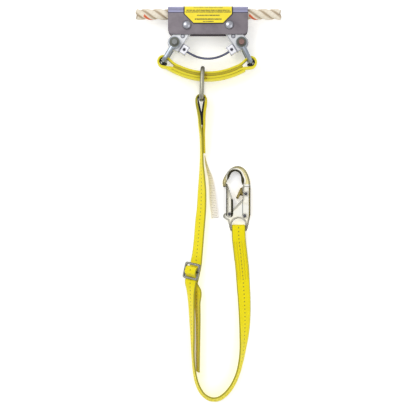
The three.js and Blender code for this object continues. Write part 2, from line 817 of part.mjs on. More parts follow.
// The return lap of the lower strap at the hook: round the eye bar and under the strap.
const HOOK_LAP = [
  [57.8, -56, 90, 2.1],
  [60, -76, 90, 1.9],
  [62.2, -98, 90, 1.9],
];

function hookLap() {
  const eye = [-6, -28, -52, -76, -97].map(eyeFoldStation);
  const under = stationsOf(HOOK_LAP).map(({ point }) => ({
    point,
    across: new THREE.Vector3(-1, 0, 0),
  }));
  return strap([...eye, ...under], 2);
}

// Black wear lining inside the ring loop: two legs that meet over the ring's lower bar.
const LINING_THICKNESS = 1.2;
const LINING_ROUTE = [
  [-12.6, 156, 5, 22.3],
  [-13.7, 168, 3, 24.1],
  [-15.5, 179, 1, 25.5],
  [-17.3, 188, 0, 26.3],
  [-18.65, 196, 0, 26.9],
  [-18.85, 202.5, 0, 27],
  [-17.4, 206.2, 0, 27],
  [-12.8, 207.9, 0, 27],
  [-8.1, 206.2, 0, 27],
  [-6.5, 202.5, 0, 27],
  [-6.6, 196, 0, 26.9],
  [-7.6, 188, 0, 26.3],
  [-9.2, 179, 1, 25.5],
  [-10.2, 168, 3, 24.1],
  [-10.5, 156, 5, 22.3],
];

function loopLining() {
  const stations = stationsOf(LINING_ROUTE).map(({ point }, i) => {
    const turn = THREE.MathUtils.degToRad(LINING_ROUTE[i][2]);
    return { point, across: new THREE.Vector3(Math.sin(turn), 0, Math.cos(turn)) };
  });
  return strap(stations, 2, WEB_WIDTH, LINING_THICKNESS);
}

// ---- inspection tag ----------------------------------------------------------------------------

const TAG = { width: 15, thickness: 0.8 };
const TAG_ROUTE = [
  [-5.6, 98, 4, 14.4],
  [-3.2, 84, 14, 12.6],
  [0.8, 70, 24, 10.4],
  [4.6, 58, 34, 8.4],
  [7.6, 40, 48, 6.2],
  [9.8, 16, 62, 4.3],
  [11.8, -2, 70, 3.3],
  [13.6, -19, 75, 2.7],
];

function inspectionTag() {
  return strap(stationsOf(TAG_ROUTE), 2, TAG.width, TAG.thickness);
}

// ---- adjuster ----------------------------------------------------------------------------------

const FRAME_HALF = [16.8, 15.5]; // across and along the strap
const WINDOW_HALF = [13.3, 11.3];
const FRAME_HALF_THICKNESS = 1.7;
const BAR = { radius: 2.2, journal: 0.9, half: 12.9, end: 15.3 };

function roundedRectangle([halfX, halfY], radius) {
  const x = halfX - radius;
  const y = halfY - radius;
  return [
    ...arcPoints([x, y], radius, 0, 90, 5),
    ...arcPoints([-x, y], radius, 90, 180, 5),
    ...arcPoints([-x, -y], radius, 180, 270, 5),
    ...arcPoints([x, -y], radius, 270, 360, 5),
  ];
}

function adjusterFrame() {
  const outline = polygon(roundedRectangle(FRAME_HALF, 4.5));
  outline.holes.push(polygon(roundedRectangle(WINDOW_HALF, 1.6)));
  const frame = plate(outline, -FRAME_HALF_THICKNESS, FRAME_HALF_THICKNESS);
  const bore = alongX(BAR.journal + GAP, -BAR.end - GAP, BAR.end + GAP, 12);
  return cut(frame, bore).applyMatrix4(adjusterMatrix());
}

function adjusterBar() {
  const profile = [
    [0, -BAR.end],
    [BAR.journal, -BAR.end],
    [BAR.journal, -BAR.half],
    [BAR.radius, -BAR.half],
    [BAR.radius, BAR.half],
    [BAR.journal, BAR.half],
    [BAR.journal, BAR.end],
    [0, BAR.end],
  ].map(([r, y]) => new THREE.Vector2(r, y));
  const bar = new THREE.LatheGeometry(profile, 16).rotateZ(Math.PI / 2);
  return bar.applyMatrix4(adjusterMatrix());
}

// ---- snap hook ---------------------------------------------------------------------------------

const HOOK_FACES = [2.5, 13.5];
const HOOK_MID_Z = 8;
const SLOT_FACES = [5.4, 10.6]; // pocket in the middle of the frame for lever and springs
const GATE_PIVOT = [40.3, -11.3];
const GATE_RIVET_RADIUS = 2.2;
const LEVER_PIVOT = [70.9, 26.6];
const STOP_RIVET = [68.8, -14.8];
const SMALL_RIVET_RADIUS = 2;
const RIVET_HEAD_RADIUS = 3.1;

function shapeThrough(parts) {
  const shape = new THREE.Shape();
  parts.forEach(({ spline, line }, i) => {
    const points = (spline ?? line).map(([x, y]) => new THREE.Vector2(x, y));
    if (i === 0) {
      const first = points.shift();
      shape.moveTo(first.x, first.y);
    }
    if (spline) shape.splineThru(points);
    else points.forEach((p) => shape.lineTo(p.x, p.y));
  });
  return shape;
}

// Notch behind the gate's pivot that lets its heel turn.
const GATE_NOTCH = [[30, -12.5], [GATE_PIVOT[0], -12.5], [GATE_PIVOT[0], -3], [30, -3]];

function hookFrame() {
  const outline = shapeThrough([
    { line: [[33.6, 39.4], [28.5, 39.4]] },
    {
      spline: [
        [27.6, 49.9],
        [32.3, 61.3],
        [40.9, 72.8],
        [54.2, 78.6],
        [66.8, 74.7],
        [74.5, 63.2],
        [78.6, 49.9],
        [79.5, 40],
      ],
    },
    { line: [[79.5, -12], [78.4, -18.8], [75.6, -32], [73.6, -40], [71.8, -43.4]] },
    { line: [[42.8, -43.4], [41, -40], [39.2, -32], [37.4, -23.6], [31.4, -20.6]] },
    { line: [[28.7, -17.4], [28.7, -12.4], [31.4, -9.7], [35.9, -9.7]] },
    { line: arcPoints(GATE_PIVOT, 4.1, 148, 80, 3) },
    { line: [[47.5, -1], [64.9, 17], [64.9, 40], [65.7, 42.2]] },
    {
      spline: [
        [62.8, 49],
        [61.9, 58.5],
        [58.2, 66],
        [50.5, 69],
        [43.7, 65.1],
        [39, 55.5],
        [33.9, 47],
      ],
    },
  ]);
  const [low, high] = HOOK_FACES;
  const [slotLow, slotHigh] = SLOT_FACES;
  const eye = polygon([
    ...arcPoints([EYE_BAR.x, -32.4], 13, 0, 180, 14),
    [EYE_BAR.x - 13, -50],
    [EYE_BAR.x + 13, -50],
  ]);
  const leverSlot = polygon([[58, 8], [76.8, 8], [76.8, 37], [70, 46], [58, 46]]);
  const springPocket = unite(
    pin(GATE_PIVOT, slotLow, slotHigh, 5),
    plate(polygon(GATE_NOTCH), slotLow, slotHigh),
  );
  const frame = cut(
    plate(outline, low, high, 3),
    plate(eye, low - 1, high + 1),
    plate(leverSlot, slotLow, slotHigh),
    springPocket,
    pin(GATE_PIVOT, 0, 20, GATE_RIVET_RADIUS + BORE_SLACK, 18),
    pin(LEVER_PIVOT, 0, 20, SMALL_RIVET_RADIUS + BORE_SLACK, 18),
    pin(STOP_RIVET, 0, 20, SMALL_RIVET_RADIUS + BORE_SLACK, 18),
  );
  const bar = alongX(EYE_BAR.radius, 42, 72.6, 14).translate(0, EYE_BAR.y, EYE_BAR.z);
  return unite(frame, bar);
}

// The gate is a folded channel: a web outside the frame and a flange on each face.
const GATE_WEB = [34.2, 35.8];
const GATE_FLANGE = 1.2;
const GATE_FACES = [1, 15];

function gate() {
  const [low, high] = GATE_FACES;
  const flange = polygon([
    [GATE_WEB[0], -9],
    ...arcPoints(GATE_PIVOT, 6.6, 200, 360, 8),
    [46.9, 14],
    [45.5, 19],
    [36.8, 44],
    [GATE_WEB[0], 46],
  ]);
  const web = polygon([
    [GATE_WEB[0], -9],
    [GATE_WEB[1], -9],
    [GATE_WEB[1], 45],
    [GATE_WEB[0], 46],
  ]);
  const channel = unite(
    plate(flange, low, low + GATE_FLANGE),
    plate(flange, high - GATE_FLANGE, high),
    plate(web, low + 0.2, high - 0.2),
  );
  return cut(channel, pin(GATE_PIVOT, 0, 20, GATE_RIVET_RADIUS + BORE_SLACK, 18));
}

function rivet(centre, radius, low, high, headHeight) {
  const dome = [
    [0.94 * RIVET_HEAD_RADIUS, 0.35 * headHeight],
    [0.64 * RIVET_HEAD_RADIUS, 0.75 * headHeight],
  ];
  return turned(
    centre,
    [
      [0, low - headHeight],
      ...dome.map(([r, h]) => [r, low - h]).reverse(),
      [RIVET_HEAD_RADIUS, low],
      [radius, low],
      [radius, high],
      [RIVET_HEAD_RADIUS, high],
      ...dome.map(([r, h]) => [r, high + h]),
      [0, high + headHeight],
    ],
    12,
  );
}

function gateRivet() {
  return rivet(GATE_PIVOT, GATE_RIVET_RADIUS, GATE_FACES[0] - GAP, GATE_FACES[1] + GAP, 0.65);
}

function smallRivet(centre) {
  return rivet(centre, SMALL_RIVET_RADIUS, HOOK_FACES[0] - GAP, HOOK_FACES[1] + GAP, 1);
}

// The lever closes the throat below the gate's tip; its web turns on a rivet in the slot.
function lockLever() {
  const bar = polygon([[52.2, 18.6], [56.4, 16.3], [64.4, 33], [64.4, 38.8], [60.8, 37.6]]);
  const web = polygon([
    [58, 24],
    [68.4, 22.2],
    ...arcPoints(LEVER_PIVOT, 4.6, -80, 80, 6),
    [62, 36.5],
  ]);
  const lever = unite(
    plate(bar, HOOK_FACES[0] + 0.5, HOOK_FACES[1] - 0.5),
    plate(web, SLOT_FACES[0] + 0.4, SLOT_FACES[1] - 0.4),
  );
  return cut(lever, pin(LEVER_PIVOT, 0, 20, SMALL_RIVET_RADIUS + BORE_SLACK, 18));
}

// A coil spring about Z at the origin, as a round wire along a helix.
function coil(radius, wire, pitch, turns) {
  class Helix extends THREE.Curve {
    getPoint(t, target = new THREE.Vector3()) {
      const angle = 2 * Math.PI * turns * t;
      const z = pitch * turns * (t - 0.5);
      return target.set(radius * Math.cos(angle), radius * Math.sin(angle), z);
    }
  }
  const section = polygon(arcPoints([0, 0], wire, 0, 288, 4));
  const options = { steps: Math.round(8 * turns), extrudePath: new Helix() };
  return new THREE.ExtrudeGeometry(section, options);
}

function gateSpring() {
  return coil(3.9, 0.45, 1.3, 3).translate(...GATE_PIVOT, HOOK_MID_Z);
}

const LEVER_SPRING = { middle: [68.2, 14.8], length: 11.6 };

function leverSpring() {
  const turns = 5;
  const pitch = (LEVER_SPRING.length - 1) / turns;
  return coil(1.7, 0.4, pitch, turns)
    .rotateX(Math.PI / 2)
    .translate(...LEVER_SPRING.middle, HOOK_MID_Z);
}

// ---- assembly ----------------------------------------------------------------------------------

add("housing_channel", housingChannel(), paintedSteel());
add("instruction_label", instructionLabel(), labelFilm());
add("lifeline_sample", lifelineSample(), ropeFibre());
add("keeper_cable", keeperCable(), darkSteel());
for (const side of ["left", "right"]) {
  add(`${side}_pivot_bolt`, pivotBolt(side), platedSteel());
  add(`${side}_pivot_nut`, pivotNut(side), platedSteel());
  for (const face of ["front", "rear"]) {
    add(`${side}_${face}_thrust_washer`, thrustWasher(side, face), platedSteel());
    add(`${side}_${face}_spacer`, spacerWasher(side, face), darkSteel());
  }
  add(`${side}_cam`, onSide(side, cam()), platedSteel());
  add(`${side}_arm_rivet`, onSide(side, armRivet()), platedSteel());
  add(`${side}_cable_block`, onSide(side, cableBlock()), platedSteel());
  add(`${side}_set_screw`, onSide(side, setScrew()), darkSteel());
  add(`${side}_shackle`, shackleBow(side), platedSteel());
  add(`${side}_shackle_bolt`, shackleBolt(side), darkSteel());
  add(`${side}_shackle_nut`, shackleNut(side), platedSteel());
  add(`${side}_eye_lining`, eyeLining(side), blackWeb());
}
add("sling_loop", slingLoop(), yellowWeb());
add("sling_core", slingCore(), yellowWeb());
add("sling_doubler", slingDoubler(), yellowWeb());
add("connector_ring", connectorRing(), darkSteel());
add("upper_strap", upperStrap(), yellowWeb());
add("ring_loop_lap", strap(stationsOf(RING_LAP), 2), yellowWeb());
add("ring_loop_lining", loopLining(), blackWeb());
add("lower_strap", lowerStrap(), yellowWeb());
add("adjuster_lap", adjusterLap(), yellowWeb());
add("hook_lap", hookLap(), yellowWeb());
add("inspection_tag", inspectionTag(), tagCloth());
add("adjuster_frame", adjusterFrame(), platedSteel());
add("adjuster_bar", adjusterBar(), platedSteel());
add("hook_frame", hookFrame(), goldSteel());
add("hook_gate", gate(), goldSteel());
add("gate_rivet", gateRivet(), goldSteel());
add("gate_spring", gateSpring(), darkSteel());
add("lock_lever", lockLever(), goldSteel());
add("lock_rivet", smallRivet(LEVER_PIVOT), goldSteel());
add("stop_rivet", smallRivet(STOP_RIVET), goldSteel());
add("lock_spring", leverSpring(), darkSteel());

export default model;
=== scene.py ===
"""Looks of the rope grab with webbing lanyard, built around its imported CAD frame."""

import math

import bpy
import numpy as np
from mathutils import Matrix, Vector


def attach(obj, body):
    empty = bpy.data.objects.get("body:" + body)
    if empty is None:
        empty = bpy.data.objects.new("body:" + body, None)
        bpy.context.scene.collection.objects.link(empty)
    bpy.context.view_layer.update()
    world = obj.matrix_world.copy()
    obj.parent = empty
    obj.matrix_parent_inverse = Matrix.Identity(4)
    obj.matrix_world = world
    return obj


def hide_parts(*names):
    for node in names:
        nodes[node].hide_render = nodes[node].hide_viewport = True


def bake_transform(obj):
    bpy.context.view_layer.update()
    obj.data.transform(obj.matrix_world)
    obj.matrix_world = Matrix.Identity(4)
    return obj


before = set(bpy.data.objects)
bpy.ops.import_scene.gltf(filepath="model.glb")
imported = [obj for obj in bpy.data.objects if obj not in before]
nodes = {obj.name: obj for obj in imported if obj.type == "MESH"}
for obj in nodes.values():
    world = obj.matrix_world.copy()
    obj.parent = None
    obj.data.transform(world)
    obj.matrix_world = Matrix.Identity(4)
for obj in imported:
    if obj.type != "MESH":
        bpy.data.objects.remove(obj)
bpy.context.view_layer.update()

MM = 0.001
SHIFT = np.array([1.65, -286.3, 0])  # the part's own offset, in millimetres
MID_Z = 27

# Webbing and rope, in millimetres
WEB_WIDTH = 25.4
WEB = 3.2
WOVEN = 3.0  # the woven straps, a little thinner than the solids that stand for them
GAP = 0.3
EDGE_POINTS = 5
FLAT_POINTS = 8
STEPS = 8  # rings from one station of a strap to the next
SWELL_SHAPE = 0.7  # how soon a fuller stretch reaches its full thickness


def row(point):
    """A point of the part in millimetres, in the row frame in metres."""
    return (np.array(point, float) + SHIFT) * MM


# ---- sweeping bands ----


def hermite(a, b, ta, tb, t):
    """A point between a and b, with slopes ta and tb there."""
    return a + ta * t + (3 * (b - a) - 2 * ta - tb) * t**2 + (2 * (a - b) + ta + tb) * t**3


def curve_point(points, t, centripetal=True):
    """A point on the Catmull-Rom curve through points, for t from 0 to 1."""
    last = len(points) - 1
    place = t * last
    i = min(int(place), last - 1)
    before = points[i - 1] if i > 0 else 2 * points[0] - points[1]
    a, b = points[i], points[i + 1]
    after = points[i + 2] if i + 2 <= last else 2 * points[last] - points[last - 1]
    if not centripetal:
        return hermite(a, b, (b - before) / 2, (after - a) / 2, place - i)
    spans = [np.sqrt(np.linalg.norm(q - p)) for p, q in ((before, a), (a, b), (b, after))]
    d0, d1, d2 = spans
    ta = ((a - before) / d0 - (b - before) / (d0 + d1) + (b - a) / d1) * d1
    tb = ((b - a) / d1 - (after - a) / (d1 + d2) + (after - b) / d2) * d1
    return hermite(a, b, ta, tb, place - i)


def unit(v):
    """The same direction with length 1."""
    return v / np.linalg.norm(v)


def distances(line):
    """Distance along a line of points to each of them."""
    return np.concatenate([[0], np.cumsum([np.linalg.norm(b - a) for a, b in zip(line, line[1:])])])


def resting_height(turn):
    """Height of the middle of a strap that lies on the ground, turned from standing on edge."""
    angle = math.radians(turn)
    return WEB_WIDTH / 2 * math.cos(angle) + WEB / 2 * math.sin(angle) + GAP


def stations_of(route):
    """Points and width directions of a strap from [x, y, turn] or [x, y, turn, z] rows."""
    points = [
        np.array([r[0], r[1], r[3] if len(r) > 3 else resting_height(r[2])], float)
        for r in route
    ]
    stations = []
    for i, point in enumerate(points):
        heading = unit(points[min(i + 1, len(points) - 1)] - points[max(i - 1, 0)])
        turn = math.radians(route[i][2])
        level = unit(np.array([heading[1], -heading[0], 0]))
        across = np.array([0, 0, math.cos(turn)]) - level * math.sin(turn)
        stations.append((point, across))
    return stations


def band_section(width, thickness):
    """Half-round edged section of a band, as (across, out) pairs round it."""
    radius = thickness / 2
    flat = width / 2 - radius
    section = []
    for side in (1, -1):
        turns = np.linspace(90, -90, EDGE_POINTS) if side == 1 else np.linspace(270, 90, EDGE_POINTS)
        for angle in np.radians(turns):
            section.append((side * flat + radius * math.cos(angle), radius * math.sin(angle)))
        along = np.linspace(flat, -flat, FLAT_POINTS)[1:-1]
        section += [(side * x, -side * radius) for x in along]
    return section


def sweep(name, stations, width=WEB_WIDTH, thickness=WEB, closed=False, fuller=None, steps=STEPS):
    """A band through its stations. Its UV map holds millimetres across and along it.
    fuller: (first station, last station, share), where it is thicker by that share."""
    points = [p for p, _ in stations]
    turning = [a for _, a in stations]
    count = steps * (len(stations) - 1)
    times = np.linspace(0, 1, count + 1)
    line = np.array([curve_point(points, t) for t in times])
    if closed:
        line[-1] = line[0]
    ahead = np.gradient(line, axis=0)
    if closed:
        ahead[0] = ahead[-1] = line[1] - line[-2]
    section = band_section(width, thickness)
    lengths = distances(line)
    verts, faces, uvs = [], [], []
    around = len(section)
    for i, t in enumerate(times):
        tangent = unit(ahead[i])
        face = unit(np.cross(tangent, curve_point(turning, t, centripetal=False)))
        across = unit(np.cross(face, tangent))
        swell = 1.0
        if fuller:
            first, last, share = fuller
            place = (t * (len(stations) - 1) - first) / (last - first)
            swell += share * math.sin(math.pi * min(max(place, 0), 1)) ** SWELL_SHAPE
        for u, v in section:
            verts.append(row(line[i] + across * u + face * v * swell))
    rings = count if closed else count + 1
    verts = verts[: rings * around]
    for i in range(count):
        for k in range(around):
            j, after = (k + 1) % around, (i + 1) % rings
            faces.append((i * around + k, after * around + k, after * around + j, i * around + j))
            for corner, step in ((k, i), (k, i + 1), (j, i + 1), (j, i)):
                uvs.append((section[corner][0], lengths[step]))
    if not closed:
        for ring, order in ((0, 1), (count, -1)):
            faces.append([ring * around + k for k in range(around)][::order])
            uvs += [(section[k][0], lengths[ring]) for k in range(around)][::order]
    obj = mesh_object(name, verts, faces)
    layer = obj.data.uv_layers.new(name="band")
    layer.data.foreach_set("uv", np.array(uvs, np.float32).ravel())
    return obj, [row(p) for p in line]


def tube_faces(first, rings, sides):
    """Faces round a tube whose rings of points follow each other from the point numbered first."""
    faces = []
    for ring in range(rings - 1):
        for s in range(sides):
            a, b = first + ring * sides + s, first + ring * sides + (s + 1) % sides
            faces.append((a, b, b + sides, a + sides))
    return faces


def mesh_object(name, verts, faces):
    """A smooth-shaded object in the scene, with its points in metres."""
    mesh = bpy.data.meshes.new(name)
    mesh.from_pydata([tuple(map(float, v)) for v in verts], [], faces)
    mesh.polygons.foreach_set("use_smooth", [True] * len(mesh.polygons))
    mesh.update()
    obj = bpy.data.objects.new(name, mesh)
    bpy.context.scene.collection.objects.link(obj)
    return obj


# ---- shader graphs ----


class Look:
    """One node material, built socket by socket."""

    def __init__(self, name, colour, roughness, metallic=0.0, **values):
        self.material = bpy.data.materials.new(name)
        self.material.use_nodes = True
        self.tree = self.material.node_tree
        self.shader = self.tree.nodes["Principled BSDF"]
        self.set("Base Color", colour)
        self.set("Roughness", roughness)
        self.set("Metallic", metallic)
        for socket, value in values.items():
            self.set(socket.replace("_", " "), value)

    def set(self, socket, value):
        """Links or sets an input of the shader."""
        self.feed(self.shader.inputs[socket], value)

    def feed(self, target, value):
        """Links or sets an input of a node. A colour comes as three numbers."""
        if isinstance(value, bpy.types.NodeSocket):
            self.tree.links.new(value, target)
        else:
            target.default_value = (*value, 1) if target.type == "RGBA" else value

    def node(self, kind, *inputs, output=0, **settings):
        """The output of a new node whose inputs are linked or set in order."""
        made = self.tree.nodes.new("ShaderNode" + kind)
        for key, value in settings.items():
            setattr(made, key, value)
        for socket, value in enumerate(inputs):
            if value is not None:
                self.feed(made.inputs[socket], value)
        return made.outputs[output]

    def math(self, operation, a, b=None, c=None):
        return self.node("Math", a, b, c, operation=operation)

    def noise(self, vector, scale, detail=3.0, roughness=0.5):
        return self.node("TexNoise", vector, None, scale, detail, roughness)

    def times(self, a, b):
        return self.math("MULTIPLY", a, b)

    def scaled(self, vector, scale):
        return self.node("Mapping", vector, (0, 0, 0), (0, 0, 0), scale)

    def edge_share(self, width):
        """0 away from sharp edges, rising to about 0.3 at them."""
        rounded = self.node("Bevel", width * MM)
        face = self.node("NewGeometry", output=1)
        along = self.node("VectorMath", rounded, face, output=1, operation="DOT_PRODUCT")
        return self.math("SUBTRACT", 1.0, along)

    def parts(self, vector):
        """The three components of a vector, as sockets."""
        split = self.tree.nodes.new("ShaderNodeSeparateXYZ")
        self.tree.links.new(vector, split.inputs[0])
        return split.outputs

    def band_place(self):
        """The UV map of a band, in millimetres across and along it."""
        return self.node("UVMap", uv_map="band")

    def share(self, value, low, high, top=1.0):
        """0 at low, rising evenly to top at high."""
        return self.node("MapRange", value, low, high, 0.0, top)

    def object_point(self):
        return self.node("TexCoord", output=3)

    def ramp(self, factor, stops):
        """Colour or grey from a factor, through (place, value) stops."""
        made = self.tree.nodes.new("ShaderNodeValToRGB")
        self.tree.links.new(factor, made.inputs[0])
        elements = made.color_ramp.elements
        while len(elements) < len(stops):
            elements.new(0.5)
        for element, (place, value) in zip(elements, stops):
            element.position = place
            grey = isinstance(value, (int, float))
            element.color = (value, value, value, 1) if grey else (*value, 1)
        return made.outputs[0]

    def mix(self, factor, a, b):
        made = self.tree.nodes.new("ShaderNodeMix")
        made.data_type = "RGBA"
        for socket, value in ((0, factor), (6, a), (7, b)):
            self.feed(made.inputs[socket], value)
        return made.outputs[2]

    def band(self, value, low, high, soft):
        """1 where value is between low and high, with soft edges."""
        middle, half = (low + high) / 2, (high - low) / 2
        away = self.math("ABSOLUTE", self.math("SUBTRACT", value, middle))
        return self.share(away, half + soft, half - soft)

    def bump(self, height, strength, distance):
        """Gives the shader a bumpy surface, and ends the look."""
        made = self.tree.nodes.new("ShaderNodeBump")
        made.inputs["Strength"].default_value = strength
        made.inputs["Distance"].default_value = distance
        self.tree.links.new(height, made.inputs["Height"])
        self.set("Normal", made.outputs[0])
        return self


def dressed(obj, look):
    """The object with the look as its only material."""
    obj.data.materials.clear()
    obj.data.materials.append(look.material)
    return obj


# ---- looks ----

STRAP_YELLOW = (0.98, 0.84, 0.0)
STRAP_SHADE = (0.72, 0.58, 0.0)
OLIVE = (0.16, 0.15, 0.03)
BLACK_WEB = (0.004, 0.004, 0.004)
# The weave, in millimetres
RIB_PITCH = 1.15
WEFT_PITCH = 1.5
WEFT_SLANT = 0.8  # along the strap for each millimetre across it
EDGE_FROM = 11.2  # where the dark edge colour begins, from the middle of the strap: painted shade along its woven edges
TRACER_PITCH = 7.0
TRACER_HALF_WIDTH = 0.95


def webbing(name, face, groove_shade, edge=None, tracer=False):
    """Woven band: warp ribs along it, weft crossings over it, fuzz, and a row of tracer ticks."""
    look = Look(
        name, face, 0.75, Sheen_Weight=0.25, Sheen_Roughness=0.4, Specular_IOR_Level=0.25
    )
    across, along = look.parts(look.band_place())[:2]
    rib = look.math("ABSOLUTE", look.math("SINE", look.times(across, math.pi / RIB_PITCH)))
    slant = look.times(look.math("PINGPONG", across, 2 * RIB_PITCH), WEFT_SLANT)
    turns = look.times(look.math("ADD", along, slant), 2 * math.pi / WEFT_PITCH)
    weft = look.math("SINE", turns)
    weave = look.math("MULTIPLY_ADD", weft, 0.28, look.times(rib, 0.72))
    fuzz = look.noise(look.object_point(), 2600, 4.0, 0.7)
    wear = look.noise(look.object_point(), 34, 4.0, 0.6)
    depth = look.ramp(look.math("MULTIPLY_ADD", fuzz, 0.45, weave), [(0.1, 0.0), (0.75, 1.0)])
    # The weave's low places take the darker groove colour: painted shade in the weave.
    colour = look.mix(depth, groove_shade, face)
    soiled = tuple(c * 0.8 for c in face)
    colour = look.mix(look.ramp(wear, [(0.5, 0.0), (0.78, 0.35)]), colour, soiled)
    # Both edges of the strap take the dark edge colour: painted shade along them.
    if edge:
        rim = look.math("GREATER_THAN", look.math("ABSOLUTE", across), EDGE_FROM)
        colour = look.mix(look.times(rim, 0.85), colour, edge)
    if tracer:
        tick = look.math("PINGPONG", along, TRACER_PITCH / 2)
        wide = look.band(across, -TRACER_HALF_WIDTH, TRACER_HALF_WIDTH, 0.15)
        dot = look.times(wide, look.band(tick, -1.0, 1.15, 0.2))
        colour = look.mix(look.times(dot, 0.85), colour, OLIVE)
    look.set("Base Color", colour)
    look.set("Roughness", look.ramp(fuzz, [(0.3, 0.62), (0.7, 0.9)]))
    height = look.math("MULTIPLY_ADD", fuzz, 0.35, weave)
    return look.bump(height, 0.9, 0.00035)


# Edge shares for the painted shade along edges: where the colour near an edge begins, where the edge's
# own begins, and where it is full
RIM_START, RIM_EDGE, RIM_FULL = 0.0004, 0.005, 0.04
SPOT_SOFTNESS = 0.8  # millimetres
STRIP_SOFTNESS = 0.0003  # metres, as are the two below
LINE_BELOW = 0.0008
LINE_ABOVE = 0.0004


def steel(name, colour, rough, grain_scale=(40, 900, 900), grain=0.35, tint=None, **marks):
    """Metal with brushed or cast grain, fine scratches and uneven polish.
    marks: rim, the colours of painted shade near and at its edges, with rim_width in millimetres and
    rim_depth for how strong they get; band, a line across the face with painted shade along it; spots
    and strips, places of another colour, on the hook painted shade and highlight."""
    look = Look(name, colour, rough, 1.0)
    point = look.object_point()
    grains = look.noise(look.scaled(point, grain_scale), 1.0, 5.0, 0.65)
    blotch = look.noise(point, 42, 4.0, 0.55)
    scratch = look.noise(look.scaled(point, (900, 60, 500)), 1.0, 2.0, 0.5)
    shade = tint or tuple(c * 0.72 for c in colour)
    tone = look.mix(look.ramp(blotch, [(0.38, 0.0), (0.68, 1.0)]), colour, shade)
    lines = look.ramp(scratch, [(0.66, 0.0), (0.72, 0.3)])
    tone = look.mix(lines, tone, tuple(min(1.0, c * 1.25) for c in colour))
    if "band" in marks:
        tone = banded(look, tone, *marks["band"])
    for spot in marks.get("spots", ()):
        tone = spotted(look, tone, *spot)
    for strip in marks.get("strips", ()):
        tone = striped(look, tone, *strip)
    # Painted shade along the edges, darker where the surface turns more sharply.
    if "rim" in marks:
        near, edge = marks["rim"]
        rim = look.edge_share(marks.get("rim_width", 1.0))
        rim = look.times(rim, marks.get("rim_depth", 1.0))
        tone = look.mix(look.share(rim, RIM_START, RIM_EDGE), tone, near)
        tone = look.mix(look.share(rim, RIM_EDGE, RIM_FULL), tone, edge)
    look.set("Base Color", tone)
    uneven = look.math("MULTIPLY_ADD", grains, 0.5, look.times(blotch, 0.5))
    look.set("Roughness", look.ramp(uneven, [(0.3, rough * 0.75), (0.7, min(1.0, rough * 1.3))]))
    height = look.math("MULTIPLY_ADD", scratch, 0.3, grains)
    return look.bump(height, grain, 0.00012)


def spotted(look, tone, centres, radius, colour):
    """Another colour round each centre, given in millimetres."""
    for centre in centres:
        place = tuple(row([*centre, 0]))
        flat = look.node("VectorMath", look.object_point(), (1, 1, 0), operation="MULTIPLY")
        away = look.node("VectorMath", flat, place, output=1, operation="DISTANCE")
        mask = look.share(away, radius * MM, (radius - SPOT_SOFTNESS) * MM)
        tone = look.mix(mask, tone, colour)
    return tone


def striped(look, tone, across, up, colour):
    """Another colour inside a box on the face, given as two ranges in millimetres."""
    x, y = look.parts(look.object_point())[:2]
    low, high = row([across[0], up[0], 0]), row([across[1], up[1], 0])
    wide = look.band(x, low[0], high[0], STRIP_SOFTNESS)
    tall = look.band(y, low[1], high[1], STRIP_SOFTNESS)
    return look.mix(look.times(wide, tall), tone, colour)


def banded(look, tone, line_y, band_colour, line_colour):
    """Another colour above a line across the face, such as a bend, with a dark line along it, which is
    painted shade.
    """
    up = look.parts(look.object_point())[1]
    line = row([0, line_y, 0])[1]
    tone = look.mix(look.share(up, line, line + LINE_ABOVE), tone, band_colour)
    dark = look.band(up, line - LINE_BELOW, line + LINE_ABOVE, STRIP_SOFTNESS)
    return look.mix(dark, tone, line_colour)


# The label's outline, in millimetres. Below its shoulders the sides slope in to the low edge.
LABEL_LEFT, LABEL_RIGHT = -45.3, 46.2
LABEL_SHOULDER, LABEL_LOW = 358.7, 340.2
LABEL_FOOT = 27.7  # half its width at the low edge
# Height up the part, letter height and half width of each row of marks, in millimetres
LABEL_ROWS = [
    (370.8, 1.2, 27),
    (365.6, 2.0, 40.5),
    (362.3, 2.0, 42),
    (356.1, 1.9, 21),
    (349.1, 2.4, 25),
    (344.9, 1.7, 10),
]


def label_film():
    """Yellow printed film with a dark border and rows of plain dashes that stand for its text."""
    look = Look("label_film", (0.75, 0.68, 0.03), 0.45, Specular_IOR_Level=0.5)
    point = look.object_point()
    across, up = look.parts(point)[:2]
    left, low = row([LABEL_LEFT, LABEL_LOW, 0])[:2]
    right, shoulder = row([LABEL_RIGHT, LABEL_SHOULDER, 0])[:2]
    slope = (LABEL_RIGHT - LABEL_FOOT) / (LABEL_SHOULDER - LABEL_LOW)
    rise = look.math("MINIMUM", look.math("SUBTRACT", up, shoulder), 0.0)
    middle = (left + right) / 2
    away = look.math("ABSOLUTE", look.math("SUBTRACT", across, middle))
    inset = look.math("SUBTRACT", (right - left) / 2, look.math("MULTIPLY_ADD", rise, -slope, away))
    rim = look.math("MINIMUM", inset, look.math("SUBTRACT", up, low))
    border = look.share(rim, 0.0024, 0.0021)
    dashes = look.noise(look.scaled(point, (1100, 900, 6)), 1.0, 1.0, 0.2)
    dash = look.share(dashes, 0.34, 0.46)
    text = None
    for y, height, half in LABEL_ROWS:
        mid = row([0, y, 0])[1]
        line = look.band(up, mid - height * MM / 2, mid + height * MM / 2, 0.00012)
        inside = look.share(away, half * MM, half * MM - 0.0003)
        line = look.times(line, inside)
        text = line if text is None else look.math("MAXIMUM", text, line)
    text = look.times(text, dash)
    print_mask = look.math("MAXIMUM", border, look.times(text, 0.95))
    smudge = look.noise(point, 60, 4.0, 0.6)
    soiled = look.ramp(smudge, [(0.4, 0.0), (0.7, 0.5)])
    ground = look.mix(soiled, (0.93, 0.76, 0.02), (0.8, 0.64, 0.03))
    look.set("Base Color", look.mix(print_mask, ground, (0.02, 0.02, 0.025)))
    look.set("Roughness", look.ramp(smudge, [(0.35, 0.35), (0.7, 0.6)]))
    return look.bump(look.noise(point, 900, 3.0, 0.6), 0.25, 0.0001)


YARNS = 9.0  # round a strand
YARN_TWIST = -0.32  # yarns passed in a millimetre along the rope


